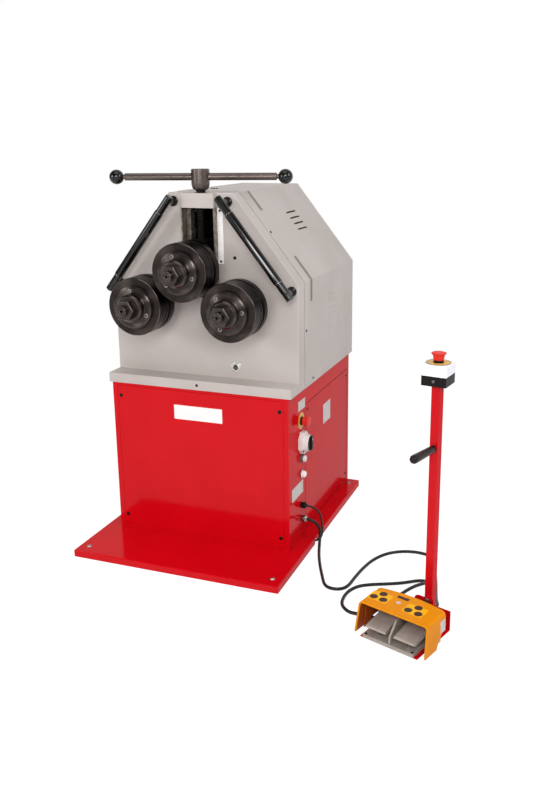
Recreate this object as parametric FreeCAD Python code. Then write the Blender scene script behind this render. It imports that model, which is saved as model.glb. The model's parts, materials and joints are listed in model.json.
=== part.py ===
import FreeCAD, Part
import math
import os

# Ring roller with a pedal stand. Millimetres, +Z up, +X to the operator's right, -Y towards the operator.
# The origin is the centre of the base plate's footprint, on the floor.

V = FreeCAD.Vector

# ---------------------------------------------------------------- driving dimensions
# base plate: a folded tray, lips down
BASE_WIDTH = 750.0
BASE_DEPTH = 915.0
BASE_HEIGHT = 24.0
BASE_SHEET = 4.0
ANCHOR_SPACING_X = 680.0
ANCHOR_SPACING_Y = 830.0
ANCHOR_HOLE_R = 8.0
CABLE_NOTCH_Y = -86.0
CABLE_NOTCH_WIDTH = 24.0
CABLE_NOTCH_HEIGHT = 18.0

# cabinet
CABINET_WIDTH = 656.0
CABINET_FRONT = -226.0
CABINET_REAR = 450.0
CABINET_TOP = 565.0
CABINET_SHEET = 2.5
CABINET_RIM = 40.0
PANEL_HALF_WIDTH = 309.0
PANEL_BOTTOM = 34.0
PANEL_TOP = 554.0
PANEL_GAP = 0.6
RETURN_WIDTH = 18.0
DOOR_FRONT = -64.0
DOOR_REAR = 425.0
DOOR_BOTTOM = 42.0
DOOR_TOP = 500.0
PANEL_SCREW_INSET = 12.0
PANEL_SCREW_R = 5.0

# head: front frame, ledge and rear cover
HEAD_WIDTH = 676.0
HEAD_FRONT = -156.0
LEDGE_FRONT = -229.0
LEDGE_TOP = 598.0
KNEE_HEIGHT = 927.0
ROOF_HEIGHT = 1214.0
ROOF_WIDTH = 228.0
FRONT_PLATE = 16.0
FRAME_DEPTH = 60.0
FRAME_SHEET = 3.0
DECK = 8.0
COVER_SHEET = 2.0
COVER_GAP = 2.5
COVER_LAP = 1.2
COVER_REAR = 456.0
LOUVRE_Y = 200.0
LOUVRE_LENGTH = 92.0
LOUVRE_SLOT = 5.0
LOUVRE_PITCH = 24.0
SLOPE_LOUVRES = 4
SLOPE_LOUVRE_START = 180.0
SIDE_LOUVRES = 7
SIDE_LOUVRE_START = 704.0
GROOVE_Y = -28.0
GROOVE_WIDTH = 13.0
GROOVE_DEPTH = 1.0
GROOVE_UPPER_LENGTH = 80.0
GROOVE_LOWER_LENGTH = 95.0
GROOVE_DROP = 73.0

# guide of the top roller
SLOT_HALF_WIDTH = 56.0
SLOT_BOTTOM = 868.0
BLOCK_HEIGHT = 48.0
SLOT_TOP = ROOF_HEIGHT - BLOCK_HEIGHT
RAIL_THICKNESS = 5.0
RAIL_FRONT = -178.0
RAIL_REAR = -114.0
GIB_FRONT = -146.0
GIB_WIDTH = 15.0
BLOCK_HALF_WIDTH = 58.0
BLOCK_REAR = -116.0
SCREW_Y = -148.0
SCREW_R = 18.0
SCREW_PITCH = 6.0
THREAD_DEPTH = 2.5
SCREW_SPIGOT_R = 11.0
SCREW_SPIGOT_LENGTH = 15.0
NUT_R = 24.5
SLIDE_TRAVEL = 96.0
SLIDE_FRONT = -172.0
SLIDE_REAR = 20.0
SLIDE_TOP = 1066.0
SLIDE_BOTTOM = 900.0
TONGUE_HALF_WIDTH = 28.0
SLIDE_BOX_HALF_WIDTH = 62.0
SCALE_WIDTH = 19.0
SCALE_LENGTH = 181.0
SCALE_BOTTOM = SLOT_TOP - SCALE_LENGTH
SCALE_THICKNESS = 2.0
SCALE_SCREW_INSET = 8.0

# T-handle
BAR_ABOVE_ROOF = 51.0
BAR_HEIGHT = ROOF_HEIGHT + BAR_ABOVE_ROOF
BAR_TURN = 15.0
BAR_R = 12.0
BAR_HALF_LENGTH = 250.0
BAR_NECK_R = 7.5
BALL_R = 24.0
BALL_REACH = 278.0
HUB_R = 30.0
HUB_BELOW_BAR = 43.0
HUB_ABOVE_BAR = 25.0
HUB_BOTTOM = BAR_HEIGHT - HUB_BELOW_BAR
HUB_TOP = BAR_HEIGHT + HUB_ABOVE_BAR

# rollers
LOWER_X = 166.0
LOWER_Z = 857.0
TOP_Z = 975.0
ROLL_FACE = -325.0
ROLL_R = 95.0
FRONT_RING = 45.0
MID_RING = 16.0
SPACER = 12.0
SPACER_R = 74.0
REAR_DISC = 28.0
ROLL_CHAMFER = 2.5
SEAT_R = 25.0
SHOULDER_R = 36.0
JOURNAL_R = 30.0
COVER_DISC_R = 69.0
COVER_DISC = 15.0
COVER_BOLT_CIRCLE_R = 55.0
WASHER_R = 45.0
WASHER = 22.0
NUT_FLATS = 60.0
NUT_LENGTH = 30.0
THREAD_END_R = 17.0
THREAD_END = 14.0
CENTRE_HOLE_R = 4.0
SOCKET_HEAD_R = 7.0
SOCKET_HEAD = 3.0
KEY_WIDTH = 14.0
KEY_HEIGHT = 9.0
BEARING_R = 50.0
BEARING_WIDTH = 20.0
BOSS_R = 62.0
BOSS_PROUD = 10.0
BOSS_DEPTH = 56.0

# drive
GEAR_MODULE = 5.0
GEAR_TEETH = 44
PINION_TEETH = 24
GEAR_WIDTH = 30.0
GEAR_Y = 45.0
BACKLASH = 1.4
BEARING_PLATE_Y = 100.0
BEARING_PLATE = 20.0
BEARING_PLATE_HALF_WIDTH = 290.0
BEARING_PLATE_TOP = 960.0
PINION_SHAFT_R = 20.0
PINION_HOLE_R = 26.0
PINION_SHAFT_DEPTH = 80.0
PINION_SHAFT_PROUD = 5.0
GEARBOX_HALF_WIDTH = 80.0
GEARBOX_DEPTH = 170.0
GEARBOX_BOTTOM = 745.0
GEARBOX_TOP = 900.0
MOTOR_R = 78.0
MOTOR_LENGTH = 270.0
MOTOR_RIBS = 9
RIB_DEPTH = 8.0
MOTOR_FLANGE = 14.0
RIBS_START = 22.0
FAN_COVER = 45.0
BOARD_THICKNESS = 3.0
BOARD_HALF_DEPTH = 150.0
BOARD_BOTTOM = 200.0
BOARD_TOP = 450.0
DEVICE_COUNT = 4
DEVICE_PITCH = 60.0
DEVICE_WIDTH = 48.0
DEVICE_DEPTH = 70.0
DEVICE_BOTTOM = 300.0
DEVICE_HEIGHT = 90.0
BOARD_RAIL = 8.0
BOARD_RAIL_HEIGHT = 20.0
TERMINAL_DEPTH = 40.0
TERMINAL_HEIGHT = 37.0
TERMINAL_DROP = 75.0

# sloping grab handles
HANDLE_TOP_X = 98.0
HANDLE_TOP_DROP = 28.0
HANDLE_TOP_Z = ROOF_HEIGHT - HANDLE_TOP_DROP
HANDLE_LOW_X = 317.0
HANDLE_LOW_DROP = 22.0
HANDLE_LOW_Z = KNEE_HEIGHT - HANDLE_LOW_DROP
HANDLE_STANDOFF = 50.0
HANDLE_TUBE_R = 15.0
HANDLE_TUBE_WALL = 2.5
HANDLE_SOCKET_R = 13.0
HANDLE_SOCKET_LENGTH = 66.0
HANDLE_OVERHANG = 23.0
HANDLE_LEG_R = 10.0
ROSETTE_R = 17.0
ROSETTE = 7.0

# sight glass and panel screws
SIGHT_X = 115.0
SIGHT_Z = 637.0
SIGHT_FLATS = 30.0
SIGHT_PROUD = 8.0
FRONT_SCREW_X = 119.0
FRONT_SCREW_Z = 1006.0
FRONT_SCREW_R = 5.5
COVER_SCREW_INSET = 14.0
SLOPE_SCREW_ALONG = 200.0
COVER_SCREW_Z = 762.0
DECK_SCREW_Y = -14.0
DECK_SCREW_RISE = 17.0
SCALE_SCREW_R = 4.0

# blank plates
NAMEPLATE_WIDTH = 180.0
NAMEPLATE_HEIGHT = 50.0
NAMEPLATE_Z = 480.0
SIDE_PLATE_Y = 171.0
SIDE_PLATE_WIDTH = 82.0
SIDE_PLATE_Z = 403.0
SIDE_PLATE_HEIGHT = 74.0
SMALL_PLATE_Y = -146.0
SMALL_PLATE_WIDTH = 108.0
SMALL_PLATE_Z = 214.0
SMALL_PLATE_HEIGHT = 46.0
CONTROL_PLATE_Y = -101.0
CONTROL_PLATE_WIDTH = 66.0
CONTROL_PLATE_Z = 510.0
CONTROL_PLATE_HEIGHT = 34.0
PLATE_THICKNESS = 0.8

# controls on the cabinet's right side
CONTROL_Y = -106.0
ESTOP_Z = 454.0
SWITCH_Z = 378.0
BUTTON_Z = 319.0
LAMP_Z = 262.0
BLACK_GLAND_Z = 149.0
METAL_GLAND_Z = 99.0
GLAND_Y = -112.0
SWITCH_WIDTH = 64.0
SWITCH_HEIGHT = 76.0
SWITCH_CORNER = 20.0
SWITCH_PLATE = 16.0
SWITCH_DEPTH = 34.0
SWITCH_RECESS = 8.0
SWITCH_COLLAR_R = 29.0
KNOB_R = 25.0
KNOB_DISC = 7.0
KNOB_DEPTH = 14.0
KNOB_RIDGE = 12.0
KNOB_STEM_R = 5.0
SIDE_RING_R = 29.0
BOX_RING_R = 34.0
RING_THICKNESS = 1.0
MUSHROOM_R = 21.0
MUSHROOM_NECK_R = 15.5
MUSHROOM_HEIGHT = 24.0
MUSHROOM_TRAVEL = 5.0
MUSHROOM_COLLAR = 7.0
STOP_SLEEVE_R = 13.5
STOP_SLEEVE_TOP = 12.0
BEZEL_R = 14.5
BEZEL_HEIGHT = 10.0
CAP_R = 11.5
CAP_HEIGHT = 7.0
CAP_TRAVEL = 4.0
LAMP_HEIGHT = 14.0
CABLE_THIN = 7.0
CABLE_THICK = 10.5
GLAND_LENGTH = 22.0
STAND_GLAND_LENGTH = 15.0
POST_GLAND_U = 19.0
POST_GLAND_Z = 24.0
LEFT_GLAND_V = -12.0
LEFT_GLAND_Z = 18.0
REAR_GLAND_U = -84.0
REAR_GLAND_Z = 45.0
CORD_START = 8.0

# pedal stand, in its own frame: u to its right, v to its rear
STAND_X = 800.0
STAND_Y = -537.0
STAND_TURN = -18.5
FLOOR_PLATE_WIDTH = 188.0
FLOOR_PLATE_DEPTH = 184.0
STAND_SHEET = 3.0
UPSTAND_HEIGHT = 62.0
UPSTAND_LEFT = -26.0
TAB_RIGHT = 38.0
TAB_HEIGHT = 78.0
TAB_CORNER_R = 16.0
POST_WIDTH = 26.0
POST_WALL = 2.5
POST_U = 19.0
POST_FOOT = 1.0
POST_TOP = 727.0
STAND_BOLT_Z = 68.0
STAND_BOLT_R = 5.0
GRIP_Z = 541.0
GRIP_R = 12.5
GRIP_LENGTH = 112.0
GRIP_NECK_R = 8.0
GRIP_NECK = 12.0
BOX_WIDTH = 72.0
BOX_BASE_HEIGHT = 28.0
BOX_LID_HEIGHT = 32.0
BOX_WALL = 3.0
BOX_TURN = 9.0

# double foot pedal
CASTING_HALF_WIDTH = 83.0
CASTING_FRONT = -96.0
CASTING_FLOOR = 11.0
CASTING_SCREW_INSET = 7.0
CASTING_SCREW_R = 4.5
BODY_HALF_WIDTH = 102.5
BODY_FRONT = 14.0
BODY_REAR = 37.0
REAR_BOW = 16.0
GLAND_PAD = 13.0
HOOD_HALF_WIDTH = 113.0
HOOD_FLARE = 4.0
HOOD_EDGE = 10.0
HOOD_TOP = 97.0
HOOD_FRONT = -70.0
HOOD_FOOT_FRONT = -86.0
HOOD_REAR = 41.0
HOOD_WALL = 4.0
HOOD_BOTTOM = 5.0
HOOD_BOTTOM_REAR = -25.0
HOOD_SIDE_REAR = 60.0
FIN_HALF_THICKNESS = 3.0
FIN_TOP = 72.0
PEDAL_SHIFT = 5.0
PEDAL_INNER = 14.0
PEDAL_OUTER = 79.0
PEDAL_FRONT = -96.0
PEDAL_REAR = 6.0
PEDAL_FRONT_TOP = 44.0
PEDAL_REAR_TOP = 60.0
PEDAL_SHEET = 6.0
PEDAL_SKIRT = 10.0
PEDAL_AXLE_V = 0.0
PEDAL_AXLE_Z = 48.0
PEDAL_AXLE_R = 4.0
PEDAL_HUB_R = 8.0
PEDAL_SWING = 10.0
SPRING_R = 7.0
SPRING_V = -66.0
PEDAL_PLATE_U = -19.0
PEDAL_PLATE_V = 16.0
PEDAL_PLATE_WIDTH = 37.0
PEDAL_PLATE_DEPTH = 12.0

# fits and clearances
FIT = 0.03
SLIDE_FIT = 0.3
SEAT_GAP = 0.3

# ---------------------------------------------------------------- worked-out places
BASE_FRONT = -BASE_DEPTH / 2
SIDE_X = CABINET_WIDTH / 2
HEAD_X = HEAD_WIDTH / 2
ROLL_LENGTH = FRONT_RING + MID_RING + SPACER + REAR_DISC
ROLL_BACK = ROLL_FACE + ROLL_LENGTH
COVER_FRONT = HEAD_FRONT + FRAME_DEPTH + COVER_GAP
RAIL_OUTER = SLOT_HALF_WIDTH + RAIL_THICKNESS
GIB_INNER = SLOT_HALF_WIDTH - GIB_WIDTH
PINION_Z = LOWER_Z - math.sqrt((GEAR_MODULE * (GEAR_TEETH + PINION_TEETH) / 2) ** 2 - LOWER_X ** 2)
FLOOR_PLATE_FRONT = CASTING_FRONT + 3.5
FLOOR_PLATE_REAR = FLOOR_PLATE_FRONT + FLOOR_PLATE_DEPTH
POST_V = FLOOR_PLATE_REAR + POST_WIDTH / 2


# ---------------------------------------------------------------- shape helpers
def box(x0, x1, y0, y1, z0, z1):
    return Part.makeBox(x1 - x0, y1 - y0, z1 - z0, V(x0, y0, z0))


def rod(start, direction, radius, length):
    return Part.makeCylinder(radius, length, start, direction)


def tube(start, direction, outer, inner, length):
    return rod(start, direction, outer, length).cut(rod(start, direction, inner, length))


def face_of(points):
    return Part.Face(Part.makePolygon(points + [points[0]]))


def prism_y(points, y0, y1):
    return face_of([V(x, y0, z) for x, z in points]).extrude(V(0, y1 - y0, 0))


def prism_x(points, x0, x1):
    return face_of([V(x0, y, z) for y, z in points]).extrude(V(x1 - x0, 0, 0))


def prism_z(points, z0, z1):
    return face_of([V(x, y, z0) for x, y in points]).extrude(V(0, 0, z1 - z0))


def turned(origin, axis, side, profile):
    """Solid of revolution; profile is (distance along axis, radius)."""
    points = [origin + axis * s + side * r for s, r in profile]
    return face_of(points).revolve(origin, axis, 360)


def hexagon(centre, direction, flats, length):
    corner = flats / math.sqrt(3)
    points = [V(corner * math.cos(math.radians(60 * k)), corner * math.sin(math.radians(60 * k)), 0)
              for k in range(6)]
    prism = face_of(points).extrude(V(0, 0, length))
    prism.Placement = FreeCAD.Placement(centre, FreeCAD.Rotation(V(0, 0, 1), direction))
    return prism


def joined(shapes):
    result = shapes[0]
    for shape in shapes[1:]:
        result = result.fuse(shape)
    return result.removeSplitter()


def mirrored(shape):
    return shape.mirror(V(0, 0, 0), V(1, 0, 0))


def on_stand(shape):
    placed = shape.copy()
    placed.rotate(V(0, 0, 0), V(0, 0, 1), STAND_TURN)
    placed.translate(V(STAND_X, STAND_Y, 0))
    return placed


def stand_point(u, v, z):
    turn = math.radians(STAND_TURN)
    return V(STAND_X + u * math.cos(turn) - v * math.sin(turn),
             STAND_Y + u * math.sin(turn) + v * math.cos(turn), z)


PARTS = {}


def keep(node, *solids):
    shape = solids[0] if len(solids) == 1 else Part.makeCompound(list(solids))
    PARTS[node] = shape


X = V(1, 0, 0)
Y = V(0, 1, 0)
Z = V(0, 0, 1)


# ---------------------------------------------------------------- base and cabinet
def base_plate():
    half = BASE_WIDTH / 2
    tray = box(-half, half, BASE_FRONT, -BASE_FRONT, 0, BASE_HEIGHT)
    inner = half - BASE_SHEET
    tray = tray.cut(box(-inner, inner, BASE_FRONT + BASE_SHEET, -BASE_FRONT - BASE_SHEET,
                        0, BASE_HEIGHT - BASE_SHEET))
    for sx in (-1, 1):
        for sy in (-1, 1):
            centre = V(sx * ANCHOR_SPACING_X / 2, sy * ANCHOR_SPACING_Y / 2, 0)
            tray = tray.cut(rod(centre, Z, ANCHOR_HOLE_R, BASE_HEIGHT))
    notch = CABLE_NOTCH_WIDTH / 2
    return tray.cut(box(inner, half, CABLE_NOTCH_Y - notch, CABLE_NOTCH_Y + notch, 0, CABLE_NOTCH_HEIGHT))


def cabinet():
    sheet = CABINET_SHEET
    shell = box(-SIDE_X, SIDE_X, CABINET_FRONT, CABINET_REAR, BASE_HEIGHT, CABINET_TOP)
    shell = shell.cut(box(-SIDE_X + sheet, SIDE_X - sheet, CABINET_FRONT + sheet, CABINET_REAR - sheet,
                          BASE_HEIGHT, CABINET_TOP - sheet))
    rim_x = SIDE_X - CABINET_RIM
    shell = shell.cut(box(-rim_x, rim_x, CABINET_FRONT + CABINET_RIM, CABINET_REAR - CABINET_RIM,
                          CABINET_TOP - sheet, CABINET_TOP))
    front_x = PANEL_HALF_WIDTH + PANEL_GAP
    front_low = PANEL_BOTTOM - PANEL_GAP
    front_high = PANEL_TOP + PANEL_GAP
    shell = shell.cut(box(-front_x, front_x, CABINET_FRONT, CABINET_FRONT + sheet, front_low, front_high))
    door_front = DOOR_FRONT - PANEL_GAP
    door_rear = DOOR_REAR + PANEL_GAP
    door_low = DOOR_BOTTOM - PANEL_GAP
    door_high = DOOR_TOP + PANEL_GAP
    shell = shell.cut(box(SIDE_X - sheet, SIDE_X, door_front, door_rear, door_low, door_high))
    behind = CABINET_FRONT + sheet
    front_return = box(-SIDE_X + sheet, SIDE_X - sheet, behind, behind + sheet, BASE_HEIGHT, CABINET_TOP - sheet)
    front_return = front_return.cut(box(-front_x + RETURN_WIDTH, front_x - RETURN_WIDTH, behind, behind + sheet,
                                        front_low + RETURN_WIDTH, front_high - RETURN_WIDTH))
    inside = SIDE_X - sheet
    door_return = box(inside - sheet, inside, door_front - RETURN_WIDTH, door_rear + 1,
                      BASE_HEIGHT, CABINET_TOP - sheet)
    door_return = door_return.cut(box(inside - sheet, inside, door_front + RETURN_WIDTH, door_rear - RETURN_WIDTH,
                                      door_low + RETURN_WIDTH, door_high - RETURN_WIDTH))
    return joined([shell, front_return, door_return])


def front_panel():
    return box(-PANEL_HALF_WIDTH, PANEL_HALF_WIDTH, CABINET_FRONT, CABINET_FRONT + CABINET_SHEET,
               PANEL_BOTTOM, PANEL_TOP)


def side_door():
    return box(SIDE_X - CABINET_SHEET, SIDE_X, DOOR_FRONT, DOOR_REAR, DOOR_BOTTOM, DOOR_TOP)


# ---------------------------------------------------------------- head
def head_outline(inset, bottom):
    """Front view of the head: upright sides, sloping shoulders, flat roof, all moved inwards by inset."""
    run = HEAD_X - ROOF_WIDTH / 2
    rise = ROOF_HEIGHT - KNEE_HEIGHT
    length = math.hypot(run, rise)
    nx = rise / length
    nz = run / length
    reach = nx * HEAD_X + nz * KNEE_HEIGHT - inset
    side = HEAD_X - inset
    roof = ROOF_HEIGHT - inset
    knee = (side, (reach - nx * side) / nz)
    shoulder = ((reach - nz * roof) / nx, roof)
    right = [(side, bottom), knee, shoulder]
    return right + [(-x, z) for x, z in reversed(right)]


def head_frame():
    plate = prism_y(head_outline(0, CABINET_TOP), HEAD_FRONT, HEAD_FRONT + FRONT_PLATE)
    band = prism_y(head_outline(0, CABINET_TOP), HEAD_FRONT, HEAD_FRONT + FRAME_DEPTH)
    band = band.cut(prism_y(head_outline(FRAME_SHEET, CABINET_TOP + DECK), HEAD_FRONT, HEAD_FRONT + FRAME_DEPTH))
    ledge = box(-HEAD_X, HEAD_X, LEDGE_FRONT, HEAD_FRONT, CABINET_TOP, LEDGE_TOP)
    ledge = ledge.cut(box(-HEAD_X + FRAME_SHEET, HEAD_X - FRAME_SHEET, LEDGE_FRONT + FRAME_SHEET, HEAD_FRONT,
                          CABINET_TOP, LEDGE_TOP - FRAME_SHEET))
    deck_x = HEAD_X - COVER_SHEET + COVER_LAP
    deck = box(-deck_x, deck_x, HEAD_FRONT, COVER_REAR - COVER_SHEET, CABINET_TOP, CABINET_TOP + DECK)
    opening_x = MOTOR_R + 20
    deck = deck.cut(box(-opening_x, opening_x, BEARING_PLATE_Y + BEARING_PLATE, CABINET_REAR - CABINET_RIM,
                        CABINET_TOP, CABINET_TOP + DECK))
    frame = joined([plate, band, ledge, deck])
    for side in (-1, 1):
        start = V(side * LOWER_X, HEAD_FRONT - BOSS_PROUD, LOWER_Z)
        frame = frame.fuse(rod(start, Y, BOSS_R, BOSS_DEPTH))
        frame = frame.cut(rod(start, Y, BEARING_R, BOSS_DEPTH))
    frame = frame.cut(box(-RAIL_OUTER, RAIL_OUTER, HEAD_FRONT, HEAD_FRONT + FRONT_PLATE, SLOT_BOTTOM, SLOT_TOP))
    frame = frame.cut(box(-BLOCK_HALF_WIDTH, BLOCK_HALF_WIDTH, HEAD_FRONT, BLOCK_REAR, SLOT_TOP, ROOF_HEIGHT))
    return frame.removeSplitter()


def slope_place():
    """Point and directions of the right shoulder's outer face: start at the knee, along and outwards."""
    run = HEAD_X - ROOF_WIDTH / 2
    rise = ROOF_HEIGHT - KNEE_HEIGHT
    length = math.hypot(run, rise)
    return V(HEAD_X, 0, KNEE_HEIGHT), V(-run / length, 0, rise / length), V(rise / length, 0, run / length), length


def slope_box(along0, along1, y0, y1, depth, height):
    start, along, outward, _ = slope_place()
    corner = start + along * along0 - outward * depth
    points = [corner, corner + along * (along1 - along0),
              corner + along * (along1 - along0) + outward * (depth + height), corner + outward * (depth + height)]
    return prism_y([(p.x, p.z) for p in points], y0, y1)


def head_cover():
    outer = head_outline(-COVER_LAP, CABINET_TOP)
    inner = head_outline(COVER_SHEET - COVER_LAP, CABINET_TOP)
    cover = prism_y(outer, COVER_FRONT, COVER_REAR)
    cover = cover.cut(prism_y(inner, COVER_FRONT, COVER_REAR - COVER_SHEET))
    cuts = []
    louvre = (LOUVRE_Y - LOUVRE_LENGTH / 2, LOUVRE_Y + LOUVRE_LENGTH / 2)
    for k in range(SLOPE_LOUVRES):
        along = SLOPE_LOUVRE_START + k * LOUVRE_PITCH
        cuts.append(slope_box(along, along + LOUVRE_SLOT, louvre[0], louvre[1], 2 * COVER_SHEET, 2 * COVER_SHEET))
    for k in range(SIDE_LOUVRES):
        z = SIDE_LOUVRE_START + k * LOUVRE_PITCH
        cuts.append(box(HEAD_X - 2 * COVER_SHEET, HEAD_X + 2 * COVER_SHEET, louvre[0], louvre[1],
                        z, z + LOUVRE_SLOT))
    length = slope_place()[3]
    groove = (GROOVE_Y - GROOVE_WIDTH / 2, GROOVE_Y + GROOVE_WIDTH / 2)
    depth = GROOVE_DEPTH - COVER_LAP
    cuts.append(slope_box(length - GROOVE_UPPER_LENGTH, length - 1, groove[0], groove[1], depth, COVER_SHEET))
    cuts.append(slope_box(0, GROOVE_LOWER_LENGTH, groove[0], groove[1], depth, COVER_SHEET))
    cuts.append(box(HEAD_X - depth, HEAD_X + COVER_SHEET, groove[0], groove[1],
                    KNEE_HEIGHT - GROOVE_DROP, KNEE_HEIGHT))
    for cut in cuts:
        cover = cover.cut(cut).cut(mirrored(cut))
    return cover


def guide_block():
    block = box(-BLOCK_HALF_WIDTH, BLOCK_HALF_WIDTH, RAIL_FRONT, BLOCK_REAR, SLOT_TOP, ROOF_HEIGHT)
    return block.cut(rod(V(0, SCREW_Y, SLOT_TOP), Z, NUT_R, ROOF_HEIGHT - SLOT_TOP))


def screw_nut():
    return tube(V(0, SCREW_Y, SLOT_TOP), Z, NUT_R, SCREW_R + FIT, ROOF_HEIGHT - SLOT_TOP)


def guide_rails():
    rail = box(SLOT_HALF_WIDTH, RAIL_OUTER, RAIL_FRONT, RAIL_REAR, SLOT_BOTTOM, SLOT_TOP)
    return [rail, mirrored(rail)]


def guide_gibs():
    gib = box(GIB_INNER, SLOT_HALF_WIDTH, GIB_FRONT, RAIL_REAR, SLOT_BOTTOM, SLOT_TOP)
    return [gib, mirrored(gib)]


def position_scale():
    return box(RAIL_OUTER, RAIL_OUTER + SCALE_WIDTH, HEAD_FRONT - SCALE_THICKNESS, HEAD_FRONT,
               SCALE_BOTTOM, SLOT_TOP)


def bearing(x, y, z):
    return tube(V(x, y, z), Y, BEARING_R, JOURNAL_R + FIT, BEARING_WIDTH)


def shaft_bearings():
    front = HEAD_FRONT - BOSS_PROUD
    return [bearing(side * LOWER_X, y, LOWER_Z) for side in (-1, 1) for y in (front, BEARING_PLATE_Y)]


def bearing_plate():
    plate = box(-BEARING_PLATE_HALF_WIDTH, BEARING_PLATE_HALF_WIDTH, BEARING_PLATE_Y,
                BEARING_PLATE_Y + BEARING_PLATE, CABINET_TOP + DECK, BEARING_PLATE_TOP)
    for side in (-1, 1):
        plate = plate.cut(rod(V(side * LOWER_X, BEARING_PLATE_Y, LOWER_Z), Y, BEARING_R, BEARING_PLATE))
    return plate.cut(rod(V(0, BEARING_PLATE_Y, PINION_Z), Y, PINION_HOLE_R, BEARING_PLATE))


def slide_carriage():
    tongue = box(-TONGUE_HALF_WIDTH, TONGUE_HALF_WIDTH, SLIDE_FRONT, RAIL_REAR, SLIDE_BOTTOM, SLIDE_TOP)
    wing_x = GIB_INNER - SLIDE_FIT
    wings = box(-wing_x, wing_x, GIB_FRONT, RAIL_REAR + SEAT_GAP, SLIDE_BOTTOM, SLIDE_TOP)
    body = box(-SLIDE_BOX_HALF_WIDTH, SLIDE_BOX_HALF_WIDTH, RAIL_REAR + SEAT_GAP, SLIDE_REAR,
               SLIDE_BOTTOM, SLIDE_TOP)
    carriage = joined([tongue, wings, body])
    carriage = carriage.cut(rod(V(0, SLIDE_FRONT, TOP_Z), Y, JOURNAL_R + 1, SLIDE_REAR - SLIDE_FRONT))
    for y in (RAIL_REAR + SEAT_GAP, SLIDE_REAR - BEARING_WIDTH):
        carriage = carriage.cut(rod(V(0, y, TOP_Z), Y, BEARING_R, BEARING_WIDTH))
    pocket = rod(V(0, SCREW_Y, SLIDE_TOP - SCREW_SPIGOT_LENGTH), Z, SCREW_SPIGOT_R + FIT, SCREW_SPIGOT_LENGTH)
    return carriage.cut(pocket)


def carriage_bearings():
    return [bearing(0, y, TOP_Z) for y in (RAIL_REAR + SEAT_GAP, SLIDE_REAR - BEARING_WIDTH)]


# ---------------------------------------------------------------- T-handle
def bar_direction():
    turn = math.radians(BAR_TURN)
    return V(math.cos(turn), math.sin(turn), 0)


def top_screw():
    """Threaded screw with its hub: rings stand for the thread, the hub has a rounded lower end."""
    bottom = SLIDE_TOP - SCREW_SPIGOT_LENGTH + SEAT_GAP
    shoulder = SLIDE_TOP + SEAT_GAP
    profile = [(bottom, 0), (bottom, SCREW_SPIGOT_R), (shoulder, SCREW_SPIGOT_R),
               (shoulder, SCREW_R - THREAD_DEPTH)]
    z = shoulder + SCREW_PITCH / 4
    while z + SCREW_PITCH < HUB_BOTTOM:
        profile += [(z, SCREW_R - THREAD_DEPTH), (z + SCREW_PITCH / 4, SCREW_R),
                    (z + SCREW_PITCH / 2, SCREW_R), (z + 3 * SCREW_PITCH / 4, SCREW_R - THREAD_DEPTH)]
        z += SCREW_PITCH
    profile.append((HUB_BOTTOM, SCREW_R - THREAD_DEPTH))
    steps = 5
    for k in range(steps + 1):
        angle = math.pi / 2 * k / steps
        profile.append((HUB_BOTTOM + 2 * (1 - math.cos(angle)) * (HUB_R - SCREW_R),
                        SCREW_R + (HUB_R - SCREW_R) * math.sin(angle)))
    profile += [(HUB_TOP - 2, HUB_R), (HUB_TOP, HUB_R - 2), (HUB_TOP, 0)]
    screw = turned(V(0, SCREW_Y, 0), Z, X, profile)
    along = bar_direction()
    return screw.cut(rod(V(0, SCREW_Y, BAR_HEIGHT) - along * HUB_R, along, BAR_R, 2 * HUB_R))


def cross_bar():
    centre = V(0, SCREW_Y, BAR_HEIGHT)
    along = bar_direction()
    bar = rod(centre - along * BAR_HALF_LENGTH, along, BAR_R, 2 * BAR_HALF_LENGTH)
    neck = rod(centre - along * BALL_REACH, along, BAR_NECK_R, 2 * BALL_REACH)
    return bar.fuse(neck).removeSplitter()


def ball_knobs():
    centre = V(0, SCREW_Y, BAR_HEIGHT)
    knobs = []
    for side in (-1, 1):
        outwards = bar_direction() * side
        ball = Part.makeSphere(BALL_R, centre + outwards * BALL_REACH)
        knobs.append(ball.cut(rod(centre, outwards, BAR_NECK_R, BALL_REACH)))
    return knobs


# ---------------------------------------------------------------- rollers
def ring(x, z, front, length, outer, chamfer=ROLL_CHAMFER):
    profile = [(0, SEAT_R), (0, outer - chamfer), (chamfer, outer), (length - chamfer, outer),
               (length, outer - chamfer), (length, SEAT_R)]
    return turned(V(x, front, z), Y, Z, profile)


def key_box(x, z, front, length, clearance):
    half = KEY_WIDTH / 2 + clearance
    return box(x - half, x + half, front - clearance, front + length + clearance,
               z + SEAT_R - KEY_HEIGHT / 2 - clearance, z + SEAT_R + KEY_HEIGHT / 2 + clearance)


def roller_shaft(x, z, rear):
    """Stepped shaft: threaded end, roller seat, shoulder and journal, with its key as a second solid."""
    end = ROLL_FACE - COVER_DISC - WASHER - NUT_LENGTH - THREAD_END
    shoulder_back = (SLIDE_FRONT if x == 0 else HEAD_FRONT - BOSS_PROUD) - SEAT_GAP
    profile = [(end, 0), (end, THREAD_END_R - 2), (end + 2, THREAD_END_R), (ROLL_FACE - COVER_DISC, THREAD_END_R),
               (ROLL_FACE, THREAD_END_R), (ROLL_FACE, SEAT_R), (ROLL_BACK, SEAT_R), (ROLL_BACK, SHOULDER_R),
               (shoulder_back, SHOULDER_R), (shoulder_back, JOURNAL_R), (rear, JOURNAL_R), (rear, 0)]
    shaft = turned(V(x, 0, z), Y, Z, profile)
    shaft = shaft.cut(rod(V(x, end, z), Y, CENTRE_HOLE_R, 12))
    shaft = shaft.cut(key_box(x, z, ROLL_FACE + 10, ROLL_LENGTH - 20, 0))
    return [shaft, key_box(x, z, ROLL_FACE + 10, ROLL_LENGTH - 20, -0.05)]


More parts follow.
